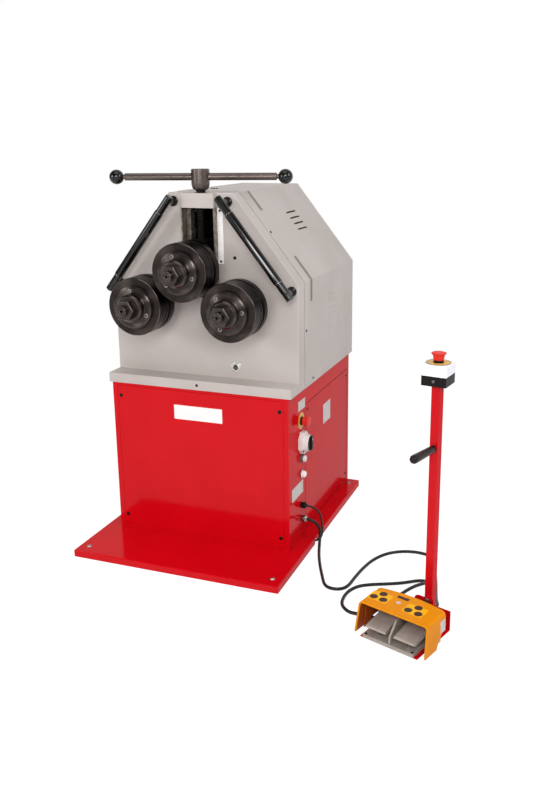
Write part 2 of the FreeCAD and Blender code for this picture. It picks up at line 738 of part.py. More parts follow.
def roll_set(x, z):
    """Front ring, mid ring, spacer and rear disc, keyed to the shaft."""
    rings = [ring(x, z, ROLL_FACE, FRONT_RING, ROLL_R),
             ring(x, z, ROLL_FACE + FRONT_RING, MID_RING, ROLL_R),
             ring(x, z, ROLL_FACE + FRONT_RING + MID_RING, SPACER, SPACER_R, 0.5),
             ring(x, z, ROLL_BACK - REAR_DISC, REAR_DISC, ROLL_R)]
    key = key_box(x, z, ROLL_FACE + 10, ROLL_LENGTH - 20, 0)
    return [one.cut(key) for one in rings]


def cover_disc(x, z, phase):
    profile = [(0, THREAD_END_R), (0, COVER_DISC_R - 4), (4, COVER_DISC_R), (COVER_DISC, COVER_DISC_R),
               (COVER_DISC, THREAD_END_R)]
    disc = turned(V(x, ROLL_FACE - COVER_DISC, z), Y, Z, profile)
    for centre in cover_screw_places(x, z, phase):
        disc = disc.cut(rod(centre, Y, SOCKET_HEAD_R + FIT, SOCKET_HEAD))
    return disc


def cover_screw_places(x, z, phase):
    front = ROLL_FACE - COVER_DISC
    return [V(x + COVER_BOLT_CIRCLE_R * math.cos(math.radians(phase + 120 * k)), front,
              z + COVER_BOLT_CIRCLE_R * math.sin(math.radians(phase + 120 * k))) for k in range(3)]


def roller_fasteners(x, z, phase):
    """Chamfered washer, hex nut and three socket screws."""
    front = ROLL_FACE - COVER_DISC
    washer = turned(V(x, front, z), -Y, Z, [(0, THREAD_END_R), (0, WASHER_R), (WASHER - 6, WASHER_R),
                                            (WASHER, WASHER_R - 6), (WASHER, THREAD_END_R)])
    nut = hexagon(V(x, front - WASHER, z), -Y, NUT_FLATS, NUT_LENGTH)
    nut = nut.common(turned(V(x, front - WASHER, z), -Y, Z,
                            [(0, 0), (0, NUT_FLATS), (NUT_LENGTH - 12, NUT_FLATS), (NUT_LENGTH, NUT_FLATS / 2),
                             (NUT_LENGTH, 0)]))
    nut = nut.cut(rod(V(x, front - WASHER, z), -Y, THREAD_END_R, NUT_LENGTH))
    heads = []
    for centre in cover_screw_places(x, z, phase):
        head = rod(centre, Y, SOCKET_HEAD_R, SOCKET_HEAD)
        heads.append(head.cut(hexagon(centre, Y, SOCKET_HEAD_R, SOCKET_HEAD * 0.7)))
    return [washer, nut] + heads


def gear(x, y, z, teeth, bore, phase):
    """Spur gear with straight-flanked teeth; phase is the direction of one tooth, in degrees."""
    pitch_r = GEAR_MODULE * teeth / 2
    tip = pitch_r + 0.85 * GEAR_MODULE
    root = pitch_r - 1.2 * GEAR_MODULE
    pitch = 2 * math.pi * pitch_r / teeth
    half_pitch_tooth = (pitch / 2 - BACKLASH / 2) / 2
    slope = math.tan(math.radians(20))
    points = []
    for k in range(teeth):
        middle = math.radians(phase + 360 * k / teeth)
        for radius, sign in ((root, -1), (tip, -1), (tip, 1), (root, 1)):
            half = half_pitch_tooth + (pitch_r - radius) * slope
            angle = middle + sign * half / radius
            points.append(V(x + radius * math.cos(angle), y, z + radius * math.sin(angle)))
    blank = face_of(points).extrude(V(0, GEAR_WIDTH, 0))
    return blank.cut(rod(V(x, y, z), Y, bore, GEAR_WIDTH))


def pinion():
    """Pinion with its output shaft, one turned and cut piece."""
    line = math.degrees(math.atan2(LOWER_Z - PINION_Z, LOWER_X))
    tooth_step = 360 / PINION_TEETH
    teeth = gear(0, GEAR_Y, PINION_Z, PINION_TEETH, PINION_SHAFT_R, line + tooth_step / 2)
    start = GEAR_Y - PINION_SHAFT_PROUD
    shaft_end = BEARING_PLATE_Y + BEARING_PLATE + PINION_SHAFT_DEPTH - PINION_SHAFT_PROUD
    shaft = rod(V(0, start, PINION_Z), Y, PINION_SHAFT_R, shaft_end - start)
    return teeth.fuse(shaft).removeSplitter()


def mesh_phase(side):
    """Gear phase that puts a tooth into the pinion's gap on the line of centres."""
    rise = LOWER_Z - PINION_Z
    to_gear = math.degrees(math.atan2(rise, side * LOWER_X))
    pinion_phase = math.degrees(math.atan2(rise, LOWER_X)) + 180 / PINION_TEETH
    gap = (to_gear - pinion_phase) % (360 / PINION_TEETH) - 180 / PINION_TEETH
    return to_gear + 180 + gap * PINION_TEETH / GEAR_TEETH


# ---------------------------------------------------------------- drive
def gearbox():
    front = BEARING_PLATE_Y + BEARING_PLATE
    low = GEARBOX_BOTTOM
    half = GEARBOX_HALF_WIDTH
    housing = prism_y([(-half, low), (half, low), (half, GEARBOX_TOP - 30), (half - 30, GEARBOX_TOP),
                       (30 - half, GEARBOX_TOP), (-half, GEARBOX_TOP - 30)], front, front + GEARBOX_DEPTH)
    return housing.cut(rod(V(0, front, PINION_Z), Y, PINION_SHAFT_R + FIT, PINION_SHAFT_DEPTH))


def motor():
    y = BEARING_PLATE_Y + BEARING_PLATE + GEARBOX_DEPTH / 2
    ribs_end = MOTOR_LENGTH - FAN_COVER
    profile = [(0, 0), (0, MOTOR_R), (MOTOR_FLANGE, MOTOR_R), (MOTOR_FLANGE, MOTOR_R - RIB_DEPTH)]
    step = (ribs_end - RIBS_START) / MOTOR_RIBS
    for k in range(MOTOR_RIBS):
        s = RIBS_START + k * step
        profile += [(s, MOTOR_R - RIB_DEPTH), (s, MOTOR_R), (s + step / 2, MOTOR_R),
                    (s + step / 2, MOTOR_R - RIB_DEPTH)]
    profile += [(ribs_end, MOTOR_R - RIB_DEPTH), (ribs_end, MOTOR_R), (MOTOR_LENGTH, MOTOR_R - 4),
                (MOTOR_LENGTH, 0)]
    return turned(V(0, y, GEARBOX_BOTTOM), -Z, X, profile)


def control_board():
    inner = -SIDE_X + CABINET_SHEET
    board = box(inner, inner + BOARD_THICKNESS, -BOARD_HALF_DEPTH, BOARD_HALF_DEPTH, BOARD_BOTTOM, BOARD_TOP)
    face = inner + BOARD_THICKNESS
    first = -DEVICE_COUNT * DEVICE_PITCH / 2
    top = DEVICE_BOTTOM + DEVICE_HEIGHT
    starts = [first + DEVICE_PITCH * k for k in range(DEVICE_COUNT)]
    devices = [box(face, face + DEVICE_DEPTH, y, y + DEVICE_WIDTH, DEVICE_BOTTOM, top) for y in starts]
    rail_low = (DEVICE_BOTTOM + top - BOARD_RAIL_HEIGHT) / 2
    rail = box(face, face + BOARD_RAIL, first - BOARD_RAIL, -first + BOARD_RAIL,
               rail_low, rail_low + BOARD_RAIL_HEIGHT)
    terminals_low = DEVICE_BOTTOM - TERMINAL_DROP
    terminals = box(face, face + TERMINAL_DEPTH, first, -first, terminals_low, terminals_low + TERMINAL_HEIGHT)
    return joined([board, rail, terminals] + devices)


# ---------------------------------------------------------------- grab handles
def handle_line():
    top = V(HANDLE_TOP_X, HEAD_FRONT - HANDLE_STANDOFF, HANDLE_TOP_Z)
    low = V(HANDLE_LOW_X, HEAD_FRONT - HANDLE_STANDOFF, HANDLE_LOW_Z)
    along = (low - top).normalize()
    return top, low, along


def grab_tubes():
    top, low, along = handle_line()
    start = top - along * HANDLE_OVERHANG + along * HANDLE_SOCKET_LENGTH
    length = (low - top).Length + 2 * HANDLE_OVERHANG - 2 * HANDLE_SOCKET_LENGTH
    one = tube(start, along, HANDLE_TUBE_R, HANDLE_TUBE_R - HANDLE_TUBE_WALL, length)
    return [one, mirrored(one)]


def handle_ends():
    top, low, along = handle_line()
    ends = []
    for foot, direction in ((top, along), (low, along * -1)):
        socket = rod(foot - direction * HANDLE_OVERHANG, direction, HANDLE_SOCKET_R, HANDLE_SOCKET_LENGTH)
        leg = rod(foot, Y, HANDLE_LEG_R, HANDLE_STANDOFF)
        rosette = rod(V(foot.x, HEAD_FRONT - ROSETTE, foot.z), Y, ROSETTE_R, ROSETTE)
        ends.append(joined([socket, leg, rosette]))
    return ends + [mirrored(one) for one in ends]


# ---------------------------------------------------------------- small pieces on the head and cabinet
def sight_glass():
    body = hexagon(V(SIGHT_X, HEAD_FRONT - SIGHT_PROUD, SIGHT_Z), Y, SIGHT_FLATS, SIGHT_PROUD)
    recess = rod(V(SIGHT_X, HEAD_FRONT - SIGHT_PROUD, SIGHT_Z), Y, SIGHT_FLATS / 3, 2)
    return body.cut(recess)


def label_plates():
    """Blank plates, and the yellow discs under the two emergency stops."""
    t = PLATE_THICKNESS
    name = box(-NAMEPLATE_WIDTH / 2, NAMEPLATE_WIDTH / 2, CABINET_FRONT - t, CABINET_FRONT,
               NAMEPLATE_Z - NAMEPLATE_HEIGHT / 2, NAMEPLATE_Z + NAMEPLATE_HEIGHT / 2)
    on_side = [box(SIDE_X, SIDE_X + t, y - width / 2, y + width / 2, z - height / 2, z + height / 2)
               for y, width, z, height in (
                   (SIDE_PLATE_Y, SIDE_PLATE_WIDTH, SIDE_PLATE_Z, SIDE_PLATE_HEIGHT),
                   (SMALL_PLATE_Y, SMALL_PLATE_WIDTH, SMALL_PLATE_Z, SMALL_PLATE_HEIGHT),
                   (CONTROL_PLATE_Y, CONTROL_PLATE_WIDTH, CONTROL_PLATE_Z, CONTROL_PLATE_HEIGHT))]
    side_ring = rod(V(SIDE_X, CONTROL_Y, ESTOP_Z), X, SIDE_RING_R, RING_THICKNESS)
    box_ring = on_stand(rod(V(POST_U, POST_V, box_top()), Z, BOX_RING_R, RING_THICKNESS))
    half_width = PEDAL_PLATE_WIDTH / 2
    half_depth = PEDAL_PLATE_DEPTH / 2
    hood = on_stand(box(PEDAL_PLATE_U - half_width, PEDAL_PLATE_U + half_width, PEDAL_PLATE_V - half_depth,
                        PEDAL_PLATE_V + half_depth, HOOD_TOP, HOOD_TOP + t))
    return [name] + on_side + [side_ring, box_ring, hood]


def button_head(place, direction, radius):
    head = Part.makeSphere(radius * 1.25, place - direction * radius * 0.75)
    head = head.common(rod(place, direction, radius, radius))
    return head.cut(hexagon(place + direction * radius * 0.25, direction, radius, radius))


def box_top():
    return POST_TOP + BOX_BASE_HEIGHT + BOX_LID_HEIGHT


def fasteners():
    """Button-head screws of the panels, cover, head and scale, and the stand's bolt with its washer."""
    screws = []
    inset = PANEL_SCREW_INSET
    for x in (-PANEL_HALF_WIDTH + inset, PANEL_HALF_WIDTH - inset):
        for z in (PANEL_BOTTOM + 3 * inset, PANEL_TOP - 3 * inset):
            screws.append(button_head(V(x, CABINET_FRONT, z), -Y, PANEL_SCREW_R))
    for y in (DOOR_FRONT + 2 * inset, DOOR_REAR - inset):
        for z in (DOOR_BOTTOM + 2 * inset, DOOR_TOP - 2 * inset):
            screws.append(button_head(V(SIDE_X, y, z), X, PANEL_SCREW_R))
    start, along, outward, _ = slope_place()
    screw_y = COVER_FRONT + COVER_SCREW_INSET
    for place, direction in ((start + along * SLOPE_SCREW_ALONG + V(0, screw_y, 0), outward),
                             (V(HEAD_X, screw_y, COVER_SCREW_Z), X),
                             (V(HEAD_X, DECK_SCREW_Y, CABINET_TOP + DECK_SCREW_RISE), X)):
        screw = button_head(place + direction * COVER_LAP, direction, PANEL_SCREW_R)
        screws += [screw, mirrored(screw)]
    for x in (-FRONT_SCREW_X, FRONT_SCREW_X):
        screws.append(button_head(V(x, HEAD_FRONT, FRONT_SCREW_Z), -Y, FRONT_SCREW_R))
    scale_x = RAIL_OUTER + SCALE_WIDTH / 2
    for z in (SCALE_BOTTOM + SCALE_SCREW_INSET, SLOT_TOP - SCALE_SCREW_INSET):
        screws.append(button_head(V(scale_x, HEAD_FRONT - SCALE_THICKNESS, z), -Y, SCALE_SCREW_R))
    screws.append(button_head(V(0, LEDGE_FRONT, (CABINET_TOP + LEDGE_TOP) / 2), -Y, PANEL_SCREW_R))
    front = FLOOR_PLATE_REAR - STAND_SHEET
    head = hexagon(V(POST_U, front - 2, STAND_BOLT_Z), -Y, 17, 7)
    washer = rod(V(POST_U, front, STAND_BOLT_Z), -Y, 11, 2)
    shank = rod(V(POST_U, front, STAND_BOLT_Z), Y, STAND_BOLT_R, STAND_SHEET + POST_WALL + 4)
    screws.append(on_stand(joined([head, washer, shank])))
    floor = STAND_SHEET + CASTING_FLOOR
    for u in (-CASTING_HALF_WIDTH + CASTING_SCREW_INSET, CASTING_HALF_WIDTH - CASTING_SCREW_INSET):
        screws.append(on_stand(button_head(V(u, CASTING_FRONT + CASTING_SCREW_INSET, floor), Z, CASTING_SCREW_R)))
    return screws


# ---------------------------------------------------------------- controls
def switch_body():
    half = SWITCH_WIDTH / 2
    tall = SWITCH_HEIGHT / 2
    corner = SWITCH_CORNER
    outline = [(CONTROL_Y + a * half - a * cy, SWITCH_Z + b * tall - b * cz)
               for a, b, cy, cz in ((-1, -1, 0, corner), (-1, -1, corner, 0),
                                    (1, -1, corner, 0), (1, -1, 0, corner),
                                    (1, 1, 0, corner), (1, 1, corner, 0),
                                    (-1, 1, corner, 0), (-1, 1, 0, corner))]
    centre = V(SIDE_X, CONTROL_Y, SWITCH_Z)
    collar = rod(centre, X, SWITCH_COLLAR_R, SWITCH_DEPTH)
    body = joined([prism_x(outline, SIDE_X, SIDE_X + SWITCH_PLATE), collar])
    recess_floor = centre + X * (SWITCH_DEPTH - SWITCH_RECESS)
    body = body.cut(rod(recess_floor, X, KNOB_R + SEAT_GAP, SWITCH_RECESS))
    return body.cut(rod(centre, X, KNOB_STEM_R + FIT, SWITCH_DEPTH))


def switch_knob():
    back = SIDE_X + SWITCH_DEPTH - SWITCH_RECESS + SEAT_GAP
    disc = rod(V(back, CONTROL_Y, SWITCH_Z), X, KNOB_R, KNOB_DISC)
    half = KNOB_RIDGE / 2
    ridge = box(back, back + KNOB_DEPTH, CONTROL_Y - half, CONTROL_Y + half,
                SWITCH_Z - KNOB_R + 2, SWITCH_Z + KNOB_R - 2)
    stem = rod(V(SIDE_X + 1, CONTROL_Y, SWITCH_Z), X, KNOB_STEM_R, back - SIDE_X)
    return joined([disc, ridge, stem])


def mushroom(base, direction, side):
    """Emergency-stop button: a skirt under a domed flange, hollow below so that it slides on the sleeve."""
    low = RING_THICKNESS + MUSHROOM_COLLAR
    top = low + MUSHROOM_HEIGHT
    bore = STOP_SLEEVE_R + FIT
    bore_top = STOP_SLEEVE_TOP + MUSHROOM_TRAVEL + SEAT_GAP
    profile = [(low, bore), (low, MUSHROOM_NECK_R), (top - 7, MUSHROOM_NECK_R + 0.5),
               (top - 4.5, MUSHROOM_R), (top - 2.5, MUSHROOM_R), (top - 1, MUSHROOM_R * 0.85), (top, 0),
               (bore_top, 0), (bore_top, bore)]
    return turned(base, direction, side, profile)


def stop_sleeve(base, direction, side):
    """Fixed seat of an emergency stop: a low flange with the sleeve that the button slides on."""
    flange_top = RING_THICKNESS + MUSHROOM_COLLAR - MUSHROOM_TRAVEL - SEAT_GAP
    profile = [(RING_THICKNESS, 0), (RING_THICKNESS, MUSHROOM_NECK_R), (flange_top, MUSHROOM_NECK_R),
               (flange_top, STOP_SLEEVE_R), (STOP_SLEEVE_TOP, STOP_SLEEVE_R), (STOP_SLEEVE_TOP, 0)]
    return turned(base, direction, side, profile)


def control_bezels():
    """Seats of the emergency stops, the push button's bezel and the pilot lamp."""
    side_collar = stop_sleeve(V(SIDE_X, CONTROL_Y, ESTOP_Z), X, Z)
    box_collar = on_stand(stop_sleeve(V(POST_U, POST_V, box_top()), Z, X))
    bezel = tube(V(SIDE_X, CONTROL_Y, BUTTON_Z), X, BEZEL_R, CAP_R + FIT, BEZEL_HEIGHT)
    lamp = turned(V(SIDE_X, CONTROL_Y, LAMP_Z), X, Z,
                  [(0, 0), (0, BEZEL_R), (4, BEZEL_R), (4, BEZEL_R - 2), (LAMP_HEIGHT, BEZEL_R - 3),
                   (LAMP_HEIGHT + 3, BEZEL_R - 7), (LAMP_HEIGHT + 3, 0)])
    return [side_collar, box_collar, bezel, lamp]


def push_button():
    back = CAP_TRAVEL + 1
    return rod(V(SIDE_X + back, CONTROL_Y, BUTTON_Z), X, CAP_R, BEZEL_HEIGHT + CAP_HEIGHT - back)


def gland(base, direction, side, cable, body_r, length):
    """Cable gland: hex body and domed nut with the cable's hole through it."""
    half = length * 0.4
    body = hexagon(base, direction, body_r * math.sqrt(3), half)
    dome = turned(base + direction * half, direction, side,
                  [(0, 0), (0, body_r), (length * 0.35, body_r), (length - half, cable / 2 + 2),
                   (length - half, 0)])
    shape = joined([body, dome])
    return shape.cut(rod(base, direction, cable / 2, length))


def cable_glands():
    black = gland(V(SIDE_X, GLAND_Y, BLACK_GLAND_Z), X, Z, CABLE_THIN, 11, GLAND_LENGTH)
    metal = gland(V(SIDE_X, GLAND_Y, METAL_GLAND_Z), X, Z, CABLE_THICK, 12, GLAND_LENGTH)
    post = gland(V(POST_GLAND_U, POST_V + POST_WIDTH / 2, POST_GLAND_Z), Y, Z, CABLE_THICK, 10, STAND_GLAND_LENGTH)
    left = gland(V(-CASTING_HALF_WIDTH, LEFT_GLAND_V, LEFT_GLAND_Z), -X, Z, CABLE_THICK, 9, STAND_GLAND_LENGTH)
    rear = gland(V(REAR_GLAND_U, BODY_REAR, REAR_GLAND_Z), Y, Z, CABLE_THICK, 10, STAND_GLAND_LENGTH)
    return [black, metal, on_stand(post), on_stand(left), on_stand(rear)]


# ---------------------------------------------------------------- stand
def stand_base():
    half = FLOOR_PLATE_WIDTH / 2
    plate = box(-half, half, FLOOR_PLATE_FRONT, FLOOR_PLATE_REAR, 0, STAND_SHEET)
    front = FLOOR_PLATE_REAR - STAND_SHEET
    upstand = box(UPSTAND_LEFT, half, front, FLOOR_PLATE_REAR, 0, UPSTAND_HEIGHT)
    tab = box(UPSTAND_LEFT, TAB_RIGHT, front, FLOOR_PLATE_REAR, UPSTAND_HEIGHT, TAB_HEIGHT)
    rounding = tab.cut(box(UPSTAND_LEFT, UPSTAND_LEFT + TAB_CORNER_R, front, FLOOR_PLATE_REAR,
                           TAB_HEIGHT - TAB_CORNER_R, TAB_HEIGHT))
    corner = rod(V(UPSTAND_LEFT + TAB_CORNER_R, front, TAB_HEIGHT - TAB_CORNER_R), Y, TAB_CORNER_R, STAND_SHEET)
    base = joined([plate, upstand, rounding, corner])
    return base.cut(rod(V(POST_U, front, STAND_BOLT_Z), Y, STAND_BOLT_R, STAND_SHEET))


def stand_post():
    half = POST_WIDTH / 2
    inner = half - POST_WALL
    post = box(POST_U - half, POST_U + half, POST_V - half, POST_V + half, POST_FOOT, POST_TOP)
    post = post.cut(box(POST_U - inner, POST_U + inner, POST_V - inner, POST_V + inner, POST_FOOT, POST_TOP))
    post = post.cut(rod(V(POST_U, POST_V - half, STAND_BOLT_Z), Y, STAND_BOLT_R, POST_WALL))
    return post.cut(rod(V(POST_GLAND_U, POST_V, POST_GLAND_Z), Y, CABLE_THICK / 2, half))


def carry_grip():
    profile = [(0, 0), (0, GRIP_NECK_R), (GRIP_NECK, GRIP_NECK_R), (GRIP_NECK, GRIP_R),
               (GRIP_LENGTH - 8, GRIP_R), (GRIP_LENGTH - 2, GRIP_R - 4), (GRIP_LENGTH, 0)]
    return turned(V(POST_U, POST_V - POST_WIDTH / 2, GRIP_Z), -Y, Z, profile)


def box_block(half, low, high):
    """Square block on the post's axis, turned as the emergency stop's box is."""
    block = box(POST_U - half, POST_U + half, POST_V - half, POST_V + half, low, high)
    block.rotate(V(POST_U, POST_V, 0), Z, BOX_TURN)
    return block


def stop_box_base():
    high = POST_TOP + BOX_BASE_HEIGHT
    outer = box_block(BOX_WIDTH / 2, POST_TOP, high)
    return outer.cut(box_block(BOX_WIDTH / 2 - BOX_WALL, POST_TOP + BOX_WALL, high))


def stop_box_lid():
    low = POST_TOP + BOX_BASE_HEIGHT
    lid = box_block(BOX_WIDTH / 2, low, box_top())
    return lid.cut(box_block(BOX_WIDTH / 2 - BOX_WALL, low, box_top() - BOX_WALL))


# ---------------------------------------------------------------- double foot pedal
def bowed_plan(half, front, rear, low, high):
    """Upright block whose rear side is bowed backwards in plan."""
    steps = 12
    points = [(half, front), (-half, front)]
    for k in range(steps + 1):
        u = half * (2 * k / steps - 1)
        points.append((u, rear - REAR_BOW * (u / half) ** 2))
    return prism_z(points, low, high)


def shifted(shape):
    moved = shape.copy()
    moved.translate(V(PEDAL_SHIFT, 0, 0))
    return moved


def pedal_base():
    """Casting: floor, centre fin, pillars for the axle, rear body and seats for its two glands."""
    floor_top = STAND_SHEET + CASTING_FLOOR
    floor = box(-CASTING_HALF_WIDTH, CASTING_HALF_WIDTH, CASTING_FRONT, BODY_FRONT, STAND_SHEET, floor_top)
    body = bowed_plan(BODY_HALF_WIDTH, BODY_FRONT, BODY_REAR, STAND_SHEET, HOOD_TOP - HOOD_WALL)
    fin = prism_x([(CASTING_FRONT + 2, floor_top), (CASTING_FRONT + 2, floor_top + 22), (-60, FIN_TOP),
                   (BODY_FRONT, FIN_TOP), (BODY_FRONT, floor_top)], -FIN_HALF_THICKNESS, FIN_HALF_THICKNESS)
    left_seat = box(-CASTING_HALF_WIDTH, -CASTING_HALF_WIDTH + 12, LEFT_GLAND_V - GLAND_PAD,
                    LEFT_GLAND_V + GLAND_PAD, STAND_SHEET, LEFT_GLAND_Z + GLAND_PAD)
    rear_seat = box(REAR_GLAND_U - GLAND_PAD, REAR_GLAND_U + GLAND_PAD, BODY_FRONT, BODY_REAR,
                    REAR_GLAND_Z - GLAND_PAD, REAR_GLAND_Z + GLAND_PAD)
    pillars = [box(a, b, PEDAL_AXLE_V - 8, BODY_FRONT, floor_top, PEDAL_AXLE_Z + 8)
               for a, b in ((-PEDAL_OUTER - 9, -PEDAL_OUTER - 2), (PEDAL_OUTER + 2, PEDAL_OUTER + 9))]
    casting = joined([floor, body, left_seat, rear_seat, shifted(joined([fin] + pillars))])
    return casting.cut(pedal_axle())


def pedal_axle():
    half = PEDAL_OUTER + 9
    return shifted(rod(V(-half, PEDAL_AXLE_V, PEDAL_AXLE_Z), X, PEDAL_AXLE_R, 2 * half))


def pedal():
    """Right pedal: sloping plate with skirts and a hub on the axle, and its return spring below."""
    t = PEDAL_SHEET
    front, rear = PEDAL_FRONT, PEDAL_REAR
    top = [(front, PEDAL_FRONT_TOP - t), (front + 3, PEDAL_FRONT_TOP), (rear, PEDAL_REAR_TOP),
           (rear, PEDAL_REAR_TOP - t), (front + 3, PEDAL_FRONT_TOP - t)]
    plate = prism_x(top, PEDAL_INNER, PEDAL_OUTER)
    skirt = [(front + 12, PEDAL_FRONT_TOP - t - PEDAL_SKIRT / 2), (front + 3, PEDAL_FRONT_TOP - t),
             (rear, PEDAL_REAR_TOP - t), (rear, PEDAL_REAR_TOP - t - PEDAL_SKIRT)]
    skirts = [prism_x(skirt, a, a + 4) for a in (PEDAL_INNER, PEDAL_OUTER - 4)]
    hub = rod(V(PEDAL_INNER, PEDAL_AXLE_V, PEDAL_AXLE_Z), X, PEDAL_HUB_R, PEDAL_OUTER - PEDAL_INNER)
    shape = joined([plate, hub] + skirts)
    return shape.cut(rod(V(PEDAL_INNER, PEDAL_AXLE_V, PEDAL_AXLE_Z), X, PEDAL_AXLE_R + FIT,
                         PEDAL_OUTER - PEDAL_INNER))


def pedal_springs():
    """Short return springs as sleeves, standing on the casting's floor below each pedal's front."""
    floor_top = STAND_SHEET + CASTING_FLOOR
    middle = (PEDAL_INNER + PEDAL_OUTER) / 2
    height = 12
    return [shifted(tube(V(side * middle, SPRING_V, floor_top), Z, SPRING_R, SPRING_R - 2, height))
            for side in (-1, 1)]


def pedal_hood():
    """Yellow guard: top and two flared side walls, open at the front and below the rear."""
    def section(inset):
        half = HOOD_HALF_WIDTH - inset
        high = HOOD_TOP - inset
        edge = HOOD_EDGE - inset
        return [(half + HOOD_FLARE, 0), (half, high - edge), (half - 0.3 * edge, high - 0.3 * edge),
                (half - edge, high), (edge - half, high), (0.3 * edge - half, high - 0.3 * edge),
                (-half, high - edge), (-half - HOOD_FLARE, 0)]
    hood = prism_y(section(0), HOOD_FOOT_FRONT, HOOD_REAR)
    hood = hood.cut(prism_y(section(HOOD_WALL), HOOD_FOOT_FRONT, HOOD_REAR))
    wide = HOOD_HALF_WIDTH + 2 * HOOD_FLARE
    side = [(HOOD_FRONT, HOOD_TOP), (HOOD_FOOT_FRONT, HOOD_BOTTOM), (HOOD_BOTTOM_REAR, HOOD_BOTTOM),
            (HOOD_BOTTOM_REAR + 5, 16), (BODY_FRONT, 50), (HOOD_REAR, HOOD_SIDE_REAR), (HOOD_REAR, HOOD_TOP)]
    hood = hood.common(prism_x(side, -wide, wide))
    hood = hood.common(bowed_plan(wide, HOOD_FOOT_FRONT, HOOD_REAR, 0, HOOD_TOP))
    notch = rod(V(-wide, LEFT_GLAND_V, LEFT_GLAND_Z), X, CABLE_THICK, wide / 2)
    return hood.cut(notch)


# ---------------------------------------------------------------- cords
def cord(route, diameter, name):
    """Round cord along a route of straight runs joined by tangent arcs."""
    edges = []
    last = route[0]
    length = 0
    radii = []
    for k in range(1, len(route) - 1):
        corner = route[k]
        back = (route[k - 1] - corner)
        ahead = (route[k + 1] - corner)
        run = min(back.Length, ahead.Length)
        back.normalize()
        ahead.normalize()
        turn = math.pi - back.getAngle(ahead)
        trim = 0.45 * run
        radius = trim / math.tan(turn / 2)
        radii.append(radius)
        start = corner + back * trim
        end = corner + ahead * trim
        inward = (back + ahead).normalize()
        middle = corner + inward * (radius / math.cos(turn / 2) - radius)
        edges.append(Part.LineSegment(last, start).toShape())
        edges.append(Part.Arc(start, middle, end).toShape())
        length += (start - last).Length + radius * turn
        last = end
    edges.append(Part.LineSegment(last, route[-1]).toShape())
    length += (route[-1] - last).Length
    spine = Part.Wire(edges)
    direction = (route[1] - route[0]).normalize()
    section = Part.Wire(Part.makeCircle(diameter / 2, route[0], direction))
    solid = spine.makePipeShell([section], True, True)
    expected = math.pi * diameter ** 2 / 4 * length
    print(name, "length %.0f" % length, "volume ratio %.3f" % (solid.Volume / expected),
          "radii", " ".join("%.0f" % radius for radius in radii))
    return solid


def world(points):
    return [V(*point) for point in points]


def on_stand_route(points):
    return [stand_point(*point) for point in points]


FLOOR_THICK = CABLE_THICK / 2 + 0.3
FLOOR_THIN = CABLE_THIN / 2 + 0.6

THIN_ROUTE = world([(SIDE_X + CORD_START, GLAND_Y, BLACK_GLAND_Z), (366, GLAND_Y, BLACK_GLAND_Z),
                    (387, -97, 129), (396, -91, 100), (399, -89, 66), (398, -87, 34),
                    (384, CABLE_NOTCH_Y, 12), (358, CABLE_NOTCH_Y, 4.7), (336, CABLE_NOTCH_Y, FLOOR_THIN)])

THICK_ROUTE = world([(SIDE_X + CORD_START, GLAND_Y, METAL_GLAND_Z), (373, GLAND_Y, METAL_GLAND_Z),
                     (396, -105, 69), (396, -108, 36), (402, -134, 9), (418, -184, FLOOR_THICK),
                     (444, -250, FLOOR_THICK), (474, -316, FLOOR_THICK), (501, -372, FLOOR_THICK),
                     (540, -380, FLOOR_THICK), (570, -357, FLOOR_THICK), (575, -287, FLOOR_THICK),
                     (583, -218, FLOOR_THICK), (600, -146, FLOOR_THICK), (634, -88, FLOOR_THICK),
                     (684, -55, FLOOR_THICK), (740, -47, FLOOR_THICK), (791, -66, FLOOR_THICK),
                     (804, -121, FLOOR_THICK), (816, -180, FLOOR_THICK), (829, -236, FLOOR_THICK),
                     (843, -308, FLOOR_THICK), (853, -353, 13)]) + on_stand_route([
                         (POST_GLAND_U, POST_V + POST_WIDTH / 2 + CORD_START + 28, POST_GLAND_Z),
                         (POST_GLAND_U, POST_V + POST_WIDTH / 2 + CORD_START, POST_GLAND_Z)])

PEDAL_ROUTE = on_stand_route([(REAR_GLAND_U, BODY_REAR + CORD_START, REAR_GLAND_Z),
                              (REAR_GLAND_U, 86, REAR_GLAND_Z), (-83, 130, 46), (-77, 176, 45), (-70, 215, 39),
                              (-72, 246, 28),
                              (-91, 264, 20), (-121, 264, 10), (-154, 229, FLOOR_THICK), (-192, 192, FLOOR_THICK),
                              (-230, 158, FLOOR_THICK), (-254, 126, FLOOR_THICK), (-260, 84, FLOOR_THICK),
                              (-250, 42, FLOOR_THICK), (-230, 4, FLOOR_THICK), (-192, -16, FLOOR_THICK),
                              (-161, -14, 9), (-124, LEFT_GLAND_V, LEFT_GLAND_Z),
                              (-CASTING_HALF_WIDTH - CORD_START, LEFT_GLAND_V, LEFT_GLAND_Z)])


